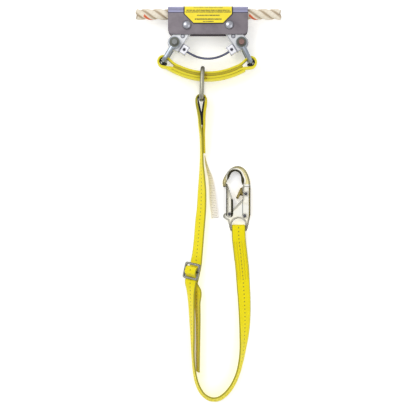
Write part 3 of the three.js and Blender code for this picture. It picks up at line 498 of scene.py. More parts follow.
def rope_fibre():
    """Twisted cream yarn with a red-orange marker yarn, darker rubbed places and painted shade between
    the strands.
    """
    look = Look("rope_fibre", (0.78, 0.70, 0.55), 0.8, Sheen_Weight=0.3, Specular_IOR_Level=0.2)
    around, along = look.parts(look.band_place())[:2]
    yarns = look.math("MULTIPLY_ADD", around, YARNS, look.times(along, YARN_TWIST))
    yarn = look.math("ABSOLUTE", look.math("SINE", look.times(yarns, math.pi)))
    fuzz = look.noise(look.object_point(), 1900, 4.0, 0.7)
    dirt = look.noise(look.object_point(), 60, 4.0, 0.6)
    tone = look.math("MULTIPLY_ADD", fuzz, 0.4, look.times(yarn, 0.7))
    raised = look.ramp(tone, [(0.15, 0.0), (0.7, 1.0)])
    colour = look.mix(raised, (0.55, 0.45, 0.31), (0.95, 0.88, 0.74))
    colour = look.mix(look.ramp(dirt, [(0.5, 0.0), (0.75, 0.5)]), colour, (0.72, 0.6, 0.42))
    # Painted shade in the grooves between strands, on the side of each strand that faces the rope's
    # middle.
    groove_shade = look.node("Attribute", output=2, attribute_name="groove_shade")
    colour = look.mix(look.share(groove_shade, 0.16, 0.42, top=0.7), colour, (0.42, 0.30, 0.17))
    marker = look.node("Attribute", output=2, attribute_name="marker")
    colour = look.mix(marker, colour, (0.72, 0.13, 0.04))
    look.set("Base Color", colour)
    look.set("Roughness", look.ramp(fuzz, [(0.3, 0.7), (0.7, 0.95)]))
    return look.bump(look.math("MULTIPLY_ADD", fuzz, 0.4, yarn), 0.8, 0.0005)


def cloth(name, light, dark, pitch=0.5, print_rows=False):
    """Fine plain weave, with rows of plain dashes where it is a printed tag."""
    look = Look(name, light, 0.8, Sheen_Weight=0.2, Specular_IOR_Level=0.25)
    place = look.band_place()
    across, along = look.parts(place)[:2]
    warp = look.math("SINE", look.times(across, 2 * math.pi / pitch))
    weft = look.math("SINE", look.times(along, 2 * math.pi / pitch))
    weave = look.math("MULTIPLY_ADD", look.times(warp, weft), 0.5, 0.5)
    fuzz = look.noise(look.object_point(), 1500, 4.0, 0.7)
    tone = look.math("MULTIPLY_ADD", fuzz, 0.5, look.times(weave, 0.5))
    # The weave's low places take the dark colour: painted shade in the weave.
    colour = look.mix(look.ramp(tone, [(0.2, 0.0), (0.6, 1.0)]), dark, light)
    if print_rows:
        dashes = look.noise(look.scaled(place, (0.9, 0.35, 1)), 1.0, 1.0)
        rows = look.band(look.math("PINGPONG", along, 1.6), -0.5, 0.55, 0.1)
        inside = look.band(across, -5.6, 5.6, 0.2)
        letters = look.math("GREATER_THAN", dashes, 0.47)
        ink = look.times(look.times(rows, inside), letters)
        colour = look.mix(look.times(ink, 0.5), colour, (0.12, 0.11, 0.1))
    look.set("Base Color", colour)
    look.set("Roughness", look.ramp(fuzz, [(0.3, 0.65), (0.7, 0.9)]))
    return look.bump(look.math("MULTIPLY_ADD", fuzz, 0.5, weave), 0.6, 0.00015)


# The edge colours of the straps below are painted shade along their edges.
YELLOW_STRAP = webbing("yellow_webbing", STRAP_YELLOW, STRAP_SHADE, edge=(0.3, 0.28, 0.03), tracer=True)
YELLOW_PLAIN = webbing("yellow_lap", STRAP_YELLOW, STRAP_SHADE, edge=(0.3, 0.28, 0.03))
LAP_WEB = webbing("loop_lap", STRAP_YELLOW, STRAP_SHADE, edge=(0.62, 0.5, 0.02))
SLING_WEB = webbing("sling_webbing", (0.93, 0.83, 0.05), (0.58, 0.47, 0.02))
CORE_WEB = webbing("core_webbing", (0.60, 0.50, 0.03), (0.34, 0.26, 0.015))
BLACK_STRAP = webbing("black_webbing", (0.012, 0.012, 0.012), BLACK_WEB)
ROPE_FIBRE = rope_fibre()
LABEL_FILM = label_film()
TAG_CLOTH = cloth("tag_cloth", (0.98, 0.95, 0.93), (0.84, 0.79, 0.77), print_rows=True)
# The rim colours of the steel pieces below are painted shade along their edges.
HOUSING_STEEL = steel(
    "grey_steel", (0.23, 0.205, 0.225), 0.5, tint=(0.18, 0.16, 0.18),
    # Painted light and shade at the housing's top bend: lighter and bluer above it, a dark line along
    # it.
    band=(362.0, (0.36, 0.36, 0.52), (0.05, 0.05, 0.09)),
    rim=((0.2, 0.18, 0.21), (0.08, 0.07, 0.09)),
)
PLATED_STEEL = steel(
    "plated_steel", (0.72, 0.73, 0.75), 0.38, grain=0.12, tint=(0.6, 0.61, 0.64),
    rim=((0.5, 0.5, 0.52), (0.1, 0.1, 0.12)), rim_width=2.2,
)
BLOCK_STEEL = steel(
    "block_steel", (0.86, 0.86, 0.89), 0.5, grain=0.1, tint=(0.78, 0.78, 0.82),
    rim=((0.6, 0.6, 0.66), (0.12, 0.12, 0.2)), rim_width=2.5,
)
DARK_STEEL = steel("dark_steel", (0.10, 0.10, 0.11), 0.4, tint=(0.05, 0.05, 0.055))
BOLT_HEAD_STEEL = steel(
    "bolt_head_steel", (0.52, 0.53, 0.58), 0.3, grain=0.1, tint=(0.42, 0.43, 0.48),
    rim=((0.3, 0.3, 0.34), (0.05, 0.05, 0.07)), rim_width=2.5,
)
# Painted shade along the edges of the two shackle bolts.
LEFT_BOLT_RIM = ((0.12, 0.12, 0.12), (0.04, 0.04, 0.04))
RIGHT_BOLT_RIM = ((0.1, 0.08, 0.07), (0.03, 0.03, 0.03))
LEFT_BOLT_STEEL = steel("left_bolt_steel", (0.24, 0.25, 0.25), 0.4, rim=LEFT_BOLT_RIM)
RIGHT_BOLT_STEEL = steel("right_bolt_steel", (0.30, 0.19, 0.17), 0.45, rim=RIGHT_BOLT_RIM)
EYE_SPOTS = ([(61.7, 306.2), (-61.7, 306.2)], 9.9, (0.15, 0.155, 0.135))
SHACKLE_STEEL = steel(
    "shackle_steel", (0.36, 0.40, 0.46), 0.34, tint=(0.24, 0.27, 0.32), spots=[EYE_SPOTS]
)
CABLE_STEEL = steel("cable_steel", (0.17, 0.18, 0.28), 0.38, grain_scale=(900, 900, 900))
RING_STEEL = steel(
    "ring_steel", (0.35, 0.34, 0.27), 0.33, grain_scale=(300, 60, 300), tint=(0.22, 0.21, 0.16)
)
SPRING_STEEL = steel("spring_steel", (0.5, 0.5, 0.5), 0.3)


def gold_zinc(name, colour, tint, **marks):
    """Zinc plate with a gold passivated skin, and painted shade along its edges: gold near them, nearly
    black at them.
    """
    return steel(
        name, colour, 0.42, grain_scale=(700, 700, 700), grain=0.3, tint=tint,
        rim=((0.42, 0.34, 0.10), (0.02, 0.018, 0.01)), rim_width=6.0, rim_depth=4.5, **marks,
    )


BOW_INSIDE = [(50.4, 58.0), (53.5, 51.0)]  # down the inner side of the hook's bow
# The frame's nearly white face colour is a painted highlight on the gold plate.
FRAME_ZINC = gold_zinc(
    "gold_zinc",
    (0.97, 0.96, 0.88),
    (0.95, 0.90, 0.74),
    # Inside the bow: painted shade on the inner chamfer, ringed by a painted highlight and a thin gold
    # line.
    spots=(
        (BOW_INSIDE, 18.6, (0.50, 0.40, 0.10)),
        (BOW_INSIDE, 17.9, (0.97, 0.95, 0.84)),
        (BOW_INSIDE, 14.9, (0.022, 0.025, 0.025)),
    ),
    strips=(
        # A nearly white painted highlight just above the step, across the spine.
        ((62.0, 80.0), (40.5, 44.6), (0.97, 0.96, 0.90)),
        # Painted shade along the spine's left edge.
        ((64.2, 65.6), (-14.0, 16.0), (0.24, 0.26, 0.26)),
        # Painted shade along the spine's right side.
        ((76.6, 80.0), (-17.0, 38.5), (0.42, 0.34, 0.12)),
    ),
    # Above the step the nose is gold, and the dark line along the step is painted shade.
    band=(40.5, (0.93, 0.84, 0.46), (0.03, 0.027, 0.012)),
)
# The gate's nearly white face colour is a painted highlight on the gold plate.
GATE_ZINC = gold_zinc(
    "gate_zinc",
    (0.97, 0.95, 0.86),
    (0.93, 0.88, 0.70),
    strips=(
        # Painted shade along the gate's left side.
        ((30.0, 35.6), (-22.0, 50.0), (0.03, 0.03, 0.02)),
        # Painted shadow at the gate's lower right.
        ((43.0, 50.0), (-22.0, 17.0), (0.02, 0.018, 0.01)),
    ),
)
LEVER_ZINC = gold_zinc("lever_zinc", (0.90, 0.74, 0.28), (0.66, 0.48, 0.14))
# The adjuster's rim colours are painted shade along its edges.
ADJUSTER_STEEL = steel(
    "adjuster_steel", (0.62, 0.62, 0.55), 0.35, grain_scale=(300, 300, 900),
    tint=(0.42, 0.43, 0.34), rim=((0.24, 0.24, 0.16), (0.02, 0.02, 0.012)), rim_width=3.0,
)
THREAD = cloth("stitch_thread", (0.72, 0.60, 0.02), (0.45, 0.36, 0.01), pitch=0.4)
RED_THREAD = cloth("red_thread", (0.45, 0.08, 0.04), (0.2, 0.03, 0.02), pitch=0.4)


# ---- the steel pieces ----

NODE_LOOKS = {
    "housing_channel": HOUSING_STEEL,
    "instruction_label": LABEL_FILM,
    "connector_ring": RING_STEEL,
    "adjuster_frame": ADJUSTER_STEEL,
    "adjuster_bar": ADJUSTER_STEEL,
    "hook_frame": FRAME_ZINC,
    "hook_gate": GATE_ZINC,
    "lock_lever": LEVER_ZINC,
    "gate_rivet": DARK_STEEL,
    "lock_rivet": DARK_STEEL,
    "stop_rivet": DARK_STEEL,
    "gate_spring": SPRING_STEEL,
    "lock_spring": SPRING_STEEL,
}
SIDE_LOOKS = {
    "pivot_bolt": BOLT_HEAD_STEEL,
    "pivot_nut": DARK_STEEL,
    "front_thrust_washer": PLATED_STEEL,
    "rear_thrust_washer": PLATED_STEEL,
    "front_spacer": DARK_STEEL,
    "rear_spacer": DARK_STEEL,
    "cam": PLATED_STEEL,
    "arm_rivet": BOLT_HEAD_STEEL,
    "cable_block": BLOCK_STEEL,
    "set_screw": DARK_STEEL,
    "shackle": SHACKLE_STEEL,
    "shackle_nut": DARK_STEEL,
}
SHACKLE_BOLT_LOOKS = {"left": LEFT_BOLT_STEEL, "right": RIGHT_BOLT_STEEL}
EDGE_ROUNDING = 0.35  # millimetres
FINE_ROUNDING = 0.15
FORGED_ROUNDING = 0.4
WELD_REACH = 0.01
FACET_ANGLE = 1.5  # degrees between facets that are one flat face
EDGE_ANGLE = 26  # degrees from which an edge is rounded
FORGED_PIECES = ("hook_frame", "hook_gate", "lock_lever")
FINE_PIECES = ("label", "washer", "rivet", "screw", "spacer")


def round_edges(obj, width):
    """Joins the facets of a CAD node and rounds its sharp edges, by modifiers only."""
    for polygon in obj.data.polygons:
        polygon.use_smooth = True
    weld = obj.modifiers.new("weld", "WELD")
    weld.merge_threshold = WELD_REACH * MM
    flat = obj.modifiers.new("flat", "DECIMATE")
    flat.decimate_type = "DISSOLVE"
    flat.angle_limit = math.radians(FACET_ANGLE)
    bevel = obj.modifiers.new("bevel", "BEVEL")
    bevel.limit_method = "ANGLE"
    bevel.angle_limit = math.radians(EDGE_ANGLE)
    bevel.width = width * MM
    bevel.segments = 2
    even = obj.modifiers.new("even", "WEIGHTED_NORMAL")
    even.mode = "FACE_AREA"
    even.weight = 100


def dress_nodes():
    """Looks and rounded edges for the CAD nodes that stay as they are."""
    looks = dict(NODE_LOOKS)
    for side, bolt_look in SHACKLE_BOLT_LOOKS.items():
        looks.update({f"{side}_{name}": look for name, look in SIDE_LOOKS.items()})
        looks[f"{side}_shackle_bolt"] = bolt_look
    for name, look in looks.items():
        obj = nodes[name]
        dressed(obj, look)
        if "spring" in name:
            continue
        fine = any(word in name for word in FINE_PIECES)
        rounding = FORGED_ROUNDING if name in FORGED_PIECES else EDGE_ROUNDING
        round_edges(obj, FINE_ROUNDING if fine else rounding)


dress_nodes()


# ---- straps ----

ADJUSTER_MIDDLE = np.array([-30.4, -117.7, 18.9])
ADJUSTER_TURN = math.radians(57)  # from standing on edge
DOWN = unit(np.array([-0.2, -0.98, 0]))
LEVEL = np.array([DOWN[1], -DOWN[0], 0])
ADJUSTER_ACROSS = np.array([0, 0, math.cos(ADJUSTER_TURN)]) - LEVEL * math.sin(ADJUSTER_TURN)
ADJUSTER_OUT = np.cross(ADJUSTER_ACROSS, -DOWN)
FOLD_TALL, FOLD_THICK = 7.4, 4.4  # half sizes of the soft fold round the adjuster's bar
BEHIND_SHIFT = 1.2  # millimetres the upper strap sits over to the left behind the adjuster
EYE_BAR = np.array([57.3, -38, 8])
EYE_FOLD = 5.4  # radius of the strap's middle round the hook's eye bar
TO_THE_LEFT = np.array([-1.0, 0, 0])


def adjuster_station(place):
    """A station at (distance down the strap, height out of the adjuster's plane)."""
    down, out = place
    return (ADJUSTER_MIDDLE + DOWN * down + ADJUSTER_OUT * out, ADJUSTER_ACROSS)


def fold_arc(start, end, count):
    """Points of the soft fold round the adjuster's bar, taller up the strap than it is thick."""
    return [
        (FOLD_TALL * math.cos(a), FOLD_THICK * math.sin(a))
        for a in np.radians(np.linspace(start, end, count + 1))
    ]


def eye_station(degrees):
    """A station of the fold round the hook's eye bar, at an angle up from straight ahead."""
    angle = math.radians(degrees)
    turned = np.array([0, math.cos(angle), math.sin(angle)]) * EYE_FOLD
    return (EYE_BAR + turned, TO_THE_LEFT)


UPPER_STRAP = [
    (-13.3, 210.3, 0, 27),
    (-16.8, 209.5, 0, 27),
    (-20.0, 206.9, 0, 27),
    (-21.4, 202.5, 0, 27),
    (-21.2, 195, 0, 26.8),
    (-19.2, 185, 0, 26),
    (-16.5, 170, 3, 24.4),
    (-15.1, 154, 5, 22),
    (-13.2, 138, 8, 19),
    (-12.2, 120, 8, 16.2),
    (-11.8, 104, 9, 14.2),
    (-11.7, 80, 14),
    (-11.2, 56, 25),
    (-11.2, 30, 36),
    (-12.2, 0, 41),
    (-14.4, -24, 45),
    (-17.0, -56, 45),
    (-19.6, -84, 48),
]
BEHIND_ADJUSTER = [(-12, -11.6), (6, -11.8), (24, -12.8)]
TAIL = [
    (-20.8, -158, 42, 11.2),
    (-19.8, -178, 24),
    (-18.6, -205, 18),
    (-18.4, -240, 14),
    (-18.7, -275, 12),
    (-18.7, -306.5, 10),
]
RING_LAP = [
    (-12.3, 210.3, 0, 27),
    (-8.7, 209.5, 0, 27),
    (-5.4, 206.9, 0, 27),
    (-3.9, 202.5, 0, 27),
    (-4.0, 195, 0, 26.8),
    (-5.6, 185, 0, 26),
    (-7.4, 170, 3, 24.4),
    (-7.9, 154, 5, 22),
    (-8.6, 138, 8, 19),
    (-8.3, 120, 8, 16.2),
    (-8.0, 103, 9, 14.2),
]
BAR_FOLD = fold_arc(170, 60, 5) + [(7.5, -0.8), (10.8, -3.7), (16, -4.1), (22, -4.2)]
LOWER_LEG = [
    (-32.0, -156, 36, 12.9),
    (-31.0, -176, 27),
    (-30.0, -205, 21),
    (-29.0, -240, 15),
    (-28.1, -275, 9),
    (-25.4, -305, 10),
    (-19.8, -330, 14),
    (-9.4, -348.5, 18),
    (4.4, -357.6, 22),
    (19, -357.6, 23),
    (33, -348.6, 22),
    (46.5, -331, 19),
    (56.4, -308, 17),
    (62, -285, 20),
    (65.4, -262, 28),
    (67.6, -238, 42),
    (68.6, -212, 55),
    (68, -175, 70),
    (65.8, -138, 80),
    (64.2, -114, 88, 4.9),
    (62.4, -96, 90, 5.7),
    (60, -76, 90, 6.4),
    (57.8, -56, 90, 9.8),
]
ADJUSTER_LAP = fold_arc(190, 270, 4) + [(5, -6.2), (10, -7.7), (15, -7.9)]
HOOK_LAP = [(57.8, -56, 90, 2.1), (60, -76, 90, 1.9), (62.2, -98, 90, 1.9)]
LINING_ROUTE = [
    (-12.6, 156, 5, 22.3),
    (-13.7, 168, 3, 24.1),
    (-15.5, 179, 1, 25.5),
    (-17.3, 188, 0, 26.3),
    (-18.65, 196, 0, 26.9),
    (-18.85, 202.5, 0, 27),
    (-17.4, 206.2, 0, 27),
    (-12.8, 207.9, 0, 27),
    (-8.1, 206.2, 0, 27),
    (-6.5, 202.5, 0, 27),
    (-6.6, 196, 0, 26.9),
    (-7.6, 188, 0, 26.3),
    (-9.2, 179, 1, 25.5),
    (-10.2, 168, 3, 24.1),
    (-10.5, 156, 5, 22.3),
]
TAG_ROUTE = [
    (-5.6, 98, 4, 14.4),
    (-3.2, 84, 14, 12.6),
    (0.8, 70, 24, 10.4),
    (4.6, 58, 34, 8.4),
    (7.6, 40, 48, 6.2),
    (9.8, 16, 62, 4.3),
    (11.8, -2, 70, 3.3),
    (13.6, -19, 75, 2.7),
]


def strap_piece(name, stations, look, slot, body, cad, **size):
    """A strap and its middle line, in place of a CAD node and riding on a body."""
    obj, line = sweep(name, stations, **size)
    dressed(obj, look)
    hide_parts(cad)
    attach(obj, body)
    return obj, line


WEBBING = "yellow_webbing"  # names of the webbing materials
BLACK_SLOT = "black_webbing"
LOOP_FULLER = (2.5, 8, 0.6)  # the sewn loop is thicker than the plain strap
LINING_INWARDS = 1.2  # millimetres the lining's legs stand in from their fold line
LINING_FADE = 10  # millimetres below its top in which it comes in that far
LINING_FOLD = (3.5, 10.5, -0.68)  # it is pressed thin where it folds over the ring
LINING_THICKNESS = 3.6
LOOP_TOP = 207.9
LOOP_MIDDLE = -12.3
TAG_WIDTH, TAG_THICKNESS = 15, 0.8
EYE_FOLD_LEG = (100, 76, 52, 28, 6)  # degrees round the eye bar
EYE_FOLD_LAP = (-6, -28, -52, -76, -97)
upper_stations = (
    stations_of(UPPER_STRAP)
    + [(p - a * BEHIND_SHIFT, a) for p, a in map(adjuster_station, BEHIND_ADJUSTER)]
    + stations_of(TAIL)
)
upper, upper_line = strap_piece(
    "upper_web", upper_stations, YELLOW_STRAP, WEBBING, "lanyard", "upper_strap",
    fuller=LOOP_FULLER, thickness=WOVEN,
)
ring_lap, _ = strap_piece(
    "ring_lap_web", stations_of(RING_LAP), LAP_WEB, WEBBING, "lanyard", "ring_loop_lap",
    fuller=LOOP_FULLER,
)


def lining_station(place):
    """A station of the lining, whose legs stand inwards of the fold line below the ring."""
    x, y, turn, z = place
    inwards = LINING_INWARDS * min(1, (LOOP_TOP - y) / LINING_FADE)
    x += math.copysign(inwards, LOOP_MIDDLE - x)
    turn = math.radians(turn)
    return (np.array([x, y, z]), np.array([math.sin(turn), 0, math.cos(turn)]))


lining_stations = [lining_station(place) for place in LINING_ROUTE]
lining, _ = strap_piece(
    "ring_lining_web", lining_stations, BLACK_STRAP, BLACK_SLOT, "lanyard", "ring_loop_lining",
    thickness=LINING_THICKNESS, fuller=LINING_FOLD,
)
tag, tag_line = strap_piece(
    "tag_cloth_piece", stations_of(TAG_ROUTE), TAG_CLOTH, "tag_cloth", "tag", "inspection_tag",
    width=TAG_WIDTH, thickness=TAG_THICKNESS,
)
lower_stations = (
    [adjuster_station(p) for p in BAR_FOLD]
    + stations_of(LOWER_LEG)
    + [eye_station(a) for a in EYE_FOLD_LEG]
)
lower, lower_line = strap_piece(
    "lower_web", lower_stations, YELLOW_STRAP, WEBBING, "adjuster_leg", "lower_strap",
    thickness=WOVEN,
)
adjuster_lap_stations = [adjuster_station(p) for p in ADJUSTER_LAP]
adjuster_lap, _ = strap_piece(
    "adjuster_lap_web", adjuster_lap_stations, YELLOW_PLAIN, WEBBING, "adjuster_leg", "adjuster_lap",
    thickness=WOVEN,
)
hook_lap_stations = [eye_station(a) for a in EYE_FOLD_LAP]
hook_lap_stations += [(point, TO_THE_LEFT) for point, _ in stations_of(HOOK_LAP)]
hook_lap, _ = strap_piece(
    "hook_lap_web", hook_lap_stations, YELLOW_PLAIN, WEBBING, "adjuster_leg", "hook_lap"
)


# ---- stitching ----

LINE_POINTS = 200
STITCH_HALF, ZIGZAG_HALF = 0.42, 0.62  # half a stitch as a share of the pitch
THREAD_SIDES = 6
# Place along half a stitch, height over the cloth and radius of each ring of a stitch
THREAD_RINGS = ((-1, -0.25, 0.2), (-0.5, 0.2, 0.34), (0.5, 0.2, 0.34), (1, -0.25, 0.2))


def stitch_rows(name, stations, out, rows_across, start, end, pitch=3.2, zigzag=0.0):
    """Short thread stitches on a strap's face: rows at distances across it, between two shares."""
    points = [p for p, _ in stations]
    turning = [a for _, a in stations]
    verts, faces = [], []
    times = np.linspace(start, end, LINE_POINTS)
    line = [curve_point(points, t) for t in times]
    lengths = distances(line)
    for across_at in rows_across:
        for k in range(int(lengths[-1] / pitch)):
            i = min(int(np.searchsorted(lengths, (k + 0.5) * pitch)), LINE_POINTS - 2)
            tangent = unit(line[i + 1] - line[i])
            face = unit(np.cross(tangent, curve_point(turning, times[i], centripetal=False)))
            across = unit(np.cross(face, tangent))
            lean = zigzag * (1 if k % 2 else -1)
            along = unit(tangent + across * lean)
            side = np.cross(face, along)
            middle = line[i] + across * across_at + face * out
            half = pitch * (ZIGZAG_HALF if zigzag else STITCH_HALF)
            thread_bit(verts, faces, middle, along * half, side, face)
    return thread_object(name, verts, faces, THREAD)


def thread_bit(verts, faces, middle, half, side, face):
    """One stitch: a six-sided thread that dips into the cloth at both ends."""
    first = len(verts)
    for share, lift, wide in THREAD_RINGS:
        for angle in np.radians(range(0, 360, 360 // THREAD_SIDES)):
            offset = side * math.cos(angle) + face * math.sin(angle)
            verts.append(row(middle + half * share + face * lift + offset * wide))
    faces += tube_faces(first, len(THREAD_RINGS), THREAD_SIDES)
    faces.append([first + s for s in range(THREAD_SIDES)][::-1])
    faces.append([len(verts) - THREAD_SIDES + s for s in range(THREAD_SIDES)])


def thread_object(name, verts, faces, look):
    """Stitches in one mesh, whose UV map holds their places seen from above."""
    obj = mesh_object(name, verts, faces)
    layer = obj.data.uv_layers.new(name="band")
    points = obj.data.vertices
    places = [points[loop.vertex_index].co[:2] for loop in obj.data.loops]
    layer.data.foreach_set("uv", np.array(places, np.float32).ravel() / MM)
    return dressed(obj, look)


SURFACE = WEB / 2 + 0.12
FOUR_ROWS = (-9.5, -3.2, 3.2, 9.5)
FIVE_ROWS = (-9.5, -4.8, 0, 4.8, 9.5)
ring_stitches = stitch_rows(
    "ring_lap_stitching", stations_of(RING_LAP), -SURFACE, FOUR_ROWS, 0.62, 0.98
)
upper_stitches = stitch_rows("upper_web_stitching", upper_stations, -SURFACE, FOUR_ROWS, 0.24, 0.39)
hook_stitches = stitch_rows(
    "hook_lap_stitching", lower_stations, SURFACE, FIVE_ROWS, 0.76, 0.86, zigzag=0.5
)
STITCHING = ((ring_stitches, "lanyard"), (upper_stitches, "lanyard"), (hook_stitches, "adjuster_leg"))
for piece, body in STITCHING:
    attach(piece, body)


# ---- rope ----

ROPE_ENDS = (-132.1, 134)
ROPE_Y = 360.2
ROPE_LAY = 65.2  # length of one full turn of a strand
ROPE_PHASE = 0.119
STRAND_RADIUS = 5.3
STRAND_OUT = 5.3  # middle of a strand from the middle of the rope
STRAND_SIDES = 20
STRAND_STEPS = 190
MARKED_LENGTHS = ((-119, -104), (76, 92))  # where the marker yarn shows
MARKED_SIDES = (0, 1, 19)  # the sides of a strand that carry it


def rope_strands():
    """Three twisted strands in one mesh, with the marker yarn as a vertex attribute."""
    verts, faces, uvs, marks, groove_shade_weights = [], [], [], [], []
    xs = np.linspace(*ROPE_ENDS, STRAND_STEPS + 1)
    pitch = 2 * math.pi * STRAND_OUT / ROPE_LAY
    for strand in range(3):
        first = len(verts)
        for x in xs:
            turn = 2 * math.pi * (x / ROPE_LAY + ROPE_PHASE + strand / 3)
            out = np.array([0, math.cos(turn), math.sin(turn)])
            centre = np.array([x, ROPE_Y, MID_Z]) + out * STRAND_OUT
            ahead = unit(np.array([1, -pitch * math.sin(turn), pitch * math.cos(turn)]))
            side = np.cross(ahead, out)
            shown = any(low <= x <= high for low, high in MARKED_LENGTHS)
            for s in range(STRAND_SIDES):
                angle = 2 * math.pi * s / STRAND_SIDES
                offset = (out * math.cos(angle) + side * math.sin(angle)) * STRAND_RADIUS
                verts.append(row(centre + offset))
                marks.append(1.0 if strand == 0 and shown and s in MARKED_SIDES else 0.0)
                # How far round the strand faces the rope's middle, which sets the painted shade in its
                # grooves.
                groove_shade_weights.append((1 - math.cos(angle)) / 2)
        faces += tube_faces(first, STRAND_STEPS + 1, STRAND_SIDES)
        for i in range(STRAND_STEPS):
            for s in range(STRAND_SIDES):
                for u, step in ((s, i), (s + 1, i), (s + 1, i + 1), (s, i + 1)):
                    uvs.append((u / STRAND_SIDES, xs[step]))
        for ring, order in ((0, -1), (STRAND_STEPS, 1)):
            faces.append([first + ring * STRAND_SIDES + s for s in range(STRAND_SIDES)][::order])
            uvs += [(s / STRAND_SIDES, xs[ring]) for s in range(STRAND_SIDES)][::order]
    obj = mesh_object("lifeline_rope", verts, faces)
    obj.data.uv_layers.new(name="band").data.foreach_set("uv", np.array(uvs, np.float32).ravel())
    obj.data.attributes.new("marker", "FLOAT", "POINT").data.foreach_set("value", marks)
    obj.data.attributes.new("groove_shade", "FLOAT", "POINT").data.foreach_set("value", groove_shade_weights)
    return obj


rope = dressed(rope_strands(), ROPE_FIBRE)
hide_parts("lifeline_sample")
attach(rope, "lifeline")


# ---- sling ----

BOW = {"left": np.array([-82.5, 272.0]), "right": np.array([79.2, 270.2])}
SLING_LOW, SLING_RISE, SLING_SPAN = 246.8, 10.4, 50.5
LAYER_OUT, LAYER = 4.3, 4.2  # middle of each belt layer from the sling's line, and its thickness
CORE_THICKNESS = 3.6
DOUBLER_OUT, DOUBLER_THICKNESS = -8.9, 4.1
EYE_MIDDLE = 9.7  # radius of the belt's middle round a bow
LINING_MIDDLE, LINING = 6.25, 1.6  # the same for its black lining, and the lining's thickness
ARC_POINTS = 12
UPRIGHT = np.array([0, 0, 1.0])


def sling_point(x, offset):
    """A point of the sagging sling, offset upwards from its line."""
    rise = SLING_RISE / SLING_SPAN**2
    slope = 2 * rise * x
    length = math.hypot(1, slope)
    y = SLING_LOW + rise * x * x
    return np.array([x - offset * slope / length, y + offset / length, MID_Z])


def bow_arc(side, radius, start, end):
    """Points round a shackle's bow, between two angles in degrees."""
    return [
        np.array([*(BOW[side] + radius * np.array([math.cos(a), math.sin(a)])), MID_Z])
        for a in np.radians(np.linspace(start, end, ARC_POINTS))
    ]


def sling_belt():
    """The closed belt: lower layer rightwards, round the right bow, upper layer back, left bow."""
    xs = np.linspace(-64, 62, ARC_POINTS)
    points = [sling_point(x, -LAYER_OUT) for x in xs]
    points += bow_arc("right", EYE_MIDDLE, 285, 480)
    points += [sling_point(x, LAYER_OUT) for x in xs[::-1]]
    points += bow_arc("left", EYE_MIDDLE, 60, 255)
    points.append(points[0])
    return [(point, UPRIGHT) for point in points]


def sling_layer(from_x, to_x, offset, count):
    """Stations of one open layer of the sling."""
    return [(sling_point(x, offset), UPRIGHT) for x in np.linspace(from_x, to_x, count)]


strap_piece(
    "sling_belt", sling_belt(), SLING_WEB, WEBBING, "sling", "sling_loop",
    thickness=LAYER, closed=True, steps=4,
)
strap_piece(
    "sling_core_web", sling_layer(-64, 64, 0, 14), CORE_WEB, WEBBING, "sling", "sling_core",
    thickness=CORE_THICKNESS,
)
doubler_stations = sling_layer(-72, 64.5, DOUBLER_OUT, 16)
strap_piece(
    "sling_doubler_web", doubler_stations, SLING_WEB, WEBBING, "sling", "sling_doubler",
    thickness=DOUBLER_THICKNESS,
)
for side, start, end in (("left", 140, 335), ("right", 205, 400)):
    arc = [(point, UPRIGHT) for point in bow_arc(side, LINING_MIDDLE, start, end)]
    strap_piece(
        f"{side}_lining_web", arc, BLACK_STRAP, BLACK_SLOT, "sling", f"{side}_eye_lining",
        thickness=LINING,
    )


# Ends of the marker thread that is sewn through the layers beside the ring, as x and y pairs
SLING_THREADS = [
    ((-4.6, 247.8), (-2.4, 244.2)),
    ((-1.6, 247.6), (-3.6, 244.6)),
    ((-4.4, 242.4), (-2.6, 238.6)),
    ((-1.4, 242.0), (-3.4, 239.2)),
]


def sling_threads():
    """The red marker thread on the sling's edge."""
    verts, faces = [], []
    top = MID_Z + WEB_WIDTH / 2 + 0.25
    for start, end in SLING_THREADS:
        a, b = np.array([*start, top]), np.array([*end, top])
        along = unit(b - a)
        thread_bit(verts, faces, (a + b) / 2, (b - a) / 2, np.cross(UPRIGHT, along), UPRIGHT)
    piece = thread_object("sling_marker_thread", verts, faces, RED_THREAD)
    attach(piece, "sling")


sling_threads()


# ---- keeper cable ----

CABLE_ROUTE = [(42.8, 293.2), (38.4, 290.3), (33.6, 287.2), (18.5, 280.6), (0, 277.8)]
CABLE_RADIUS = 2.15
WIRE_RADIUS = 0.86
CORE_RADIUS = CABLE_RADIUS - WIRE_RADIUS * 0.9
CABLE_LAY = 16
CABLE_POINTS = 70
WIRE_SIDES = 8
HALF_WAY = 0.502  # each half runs just past the middle, so that no gap shows


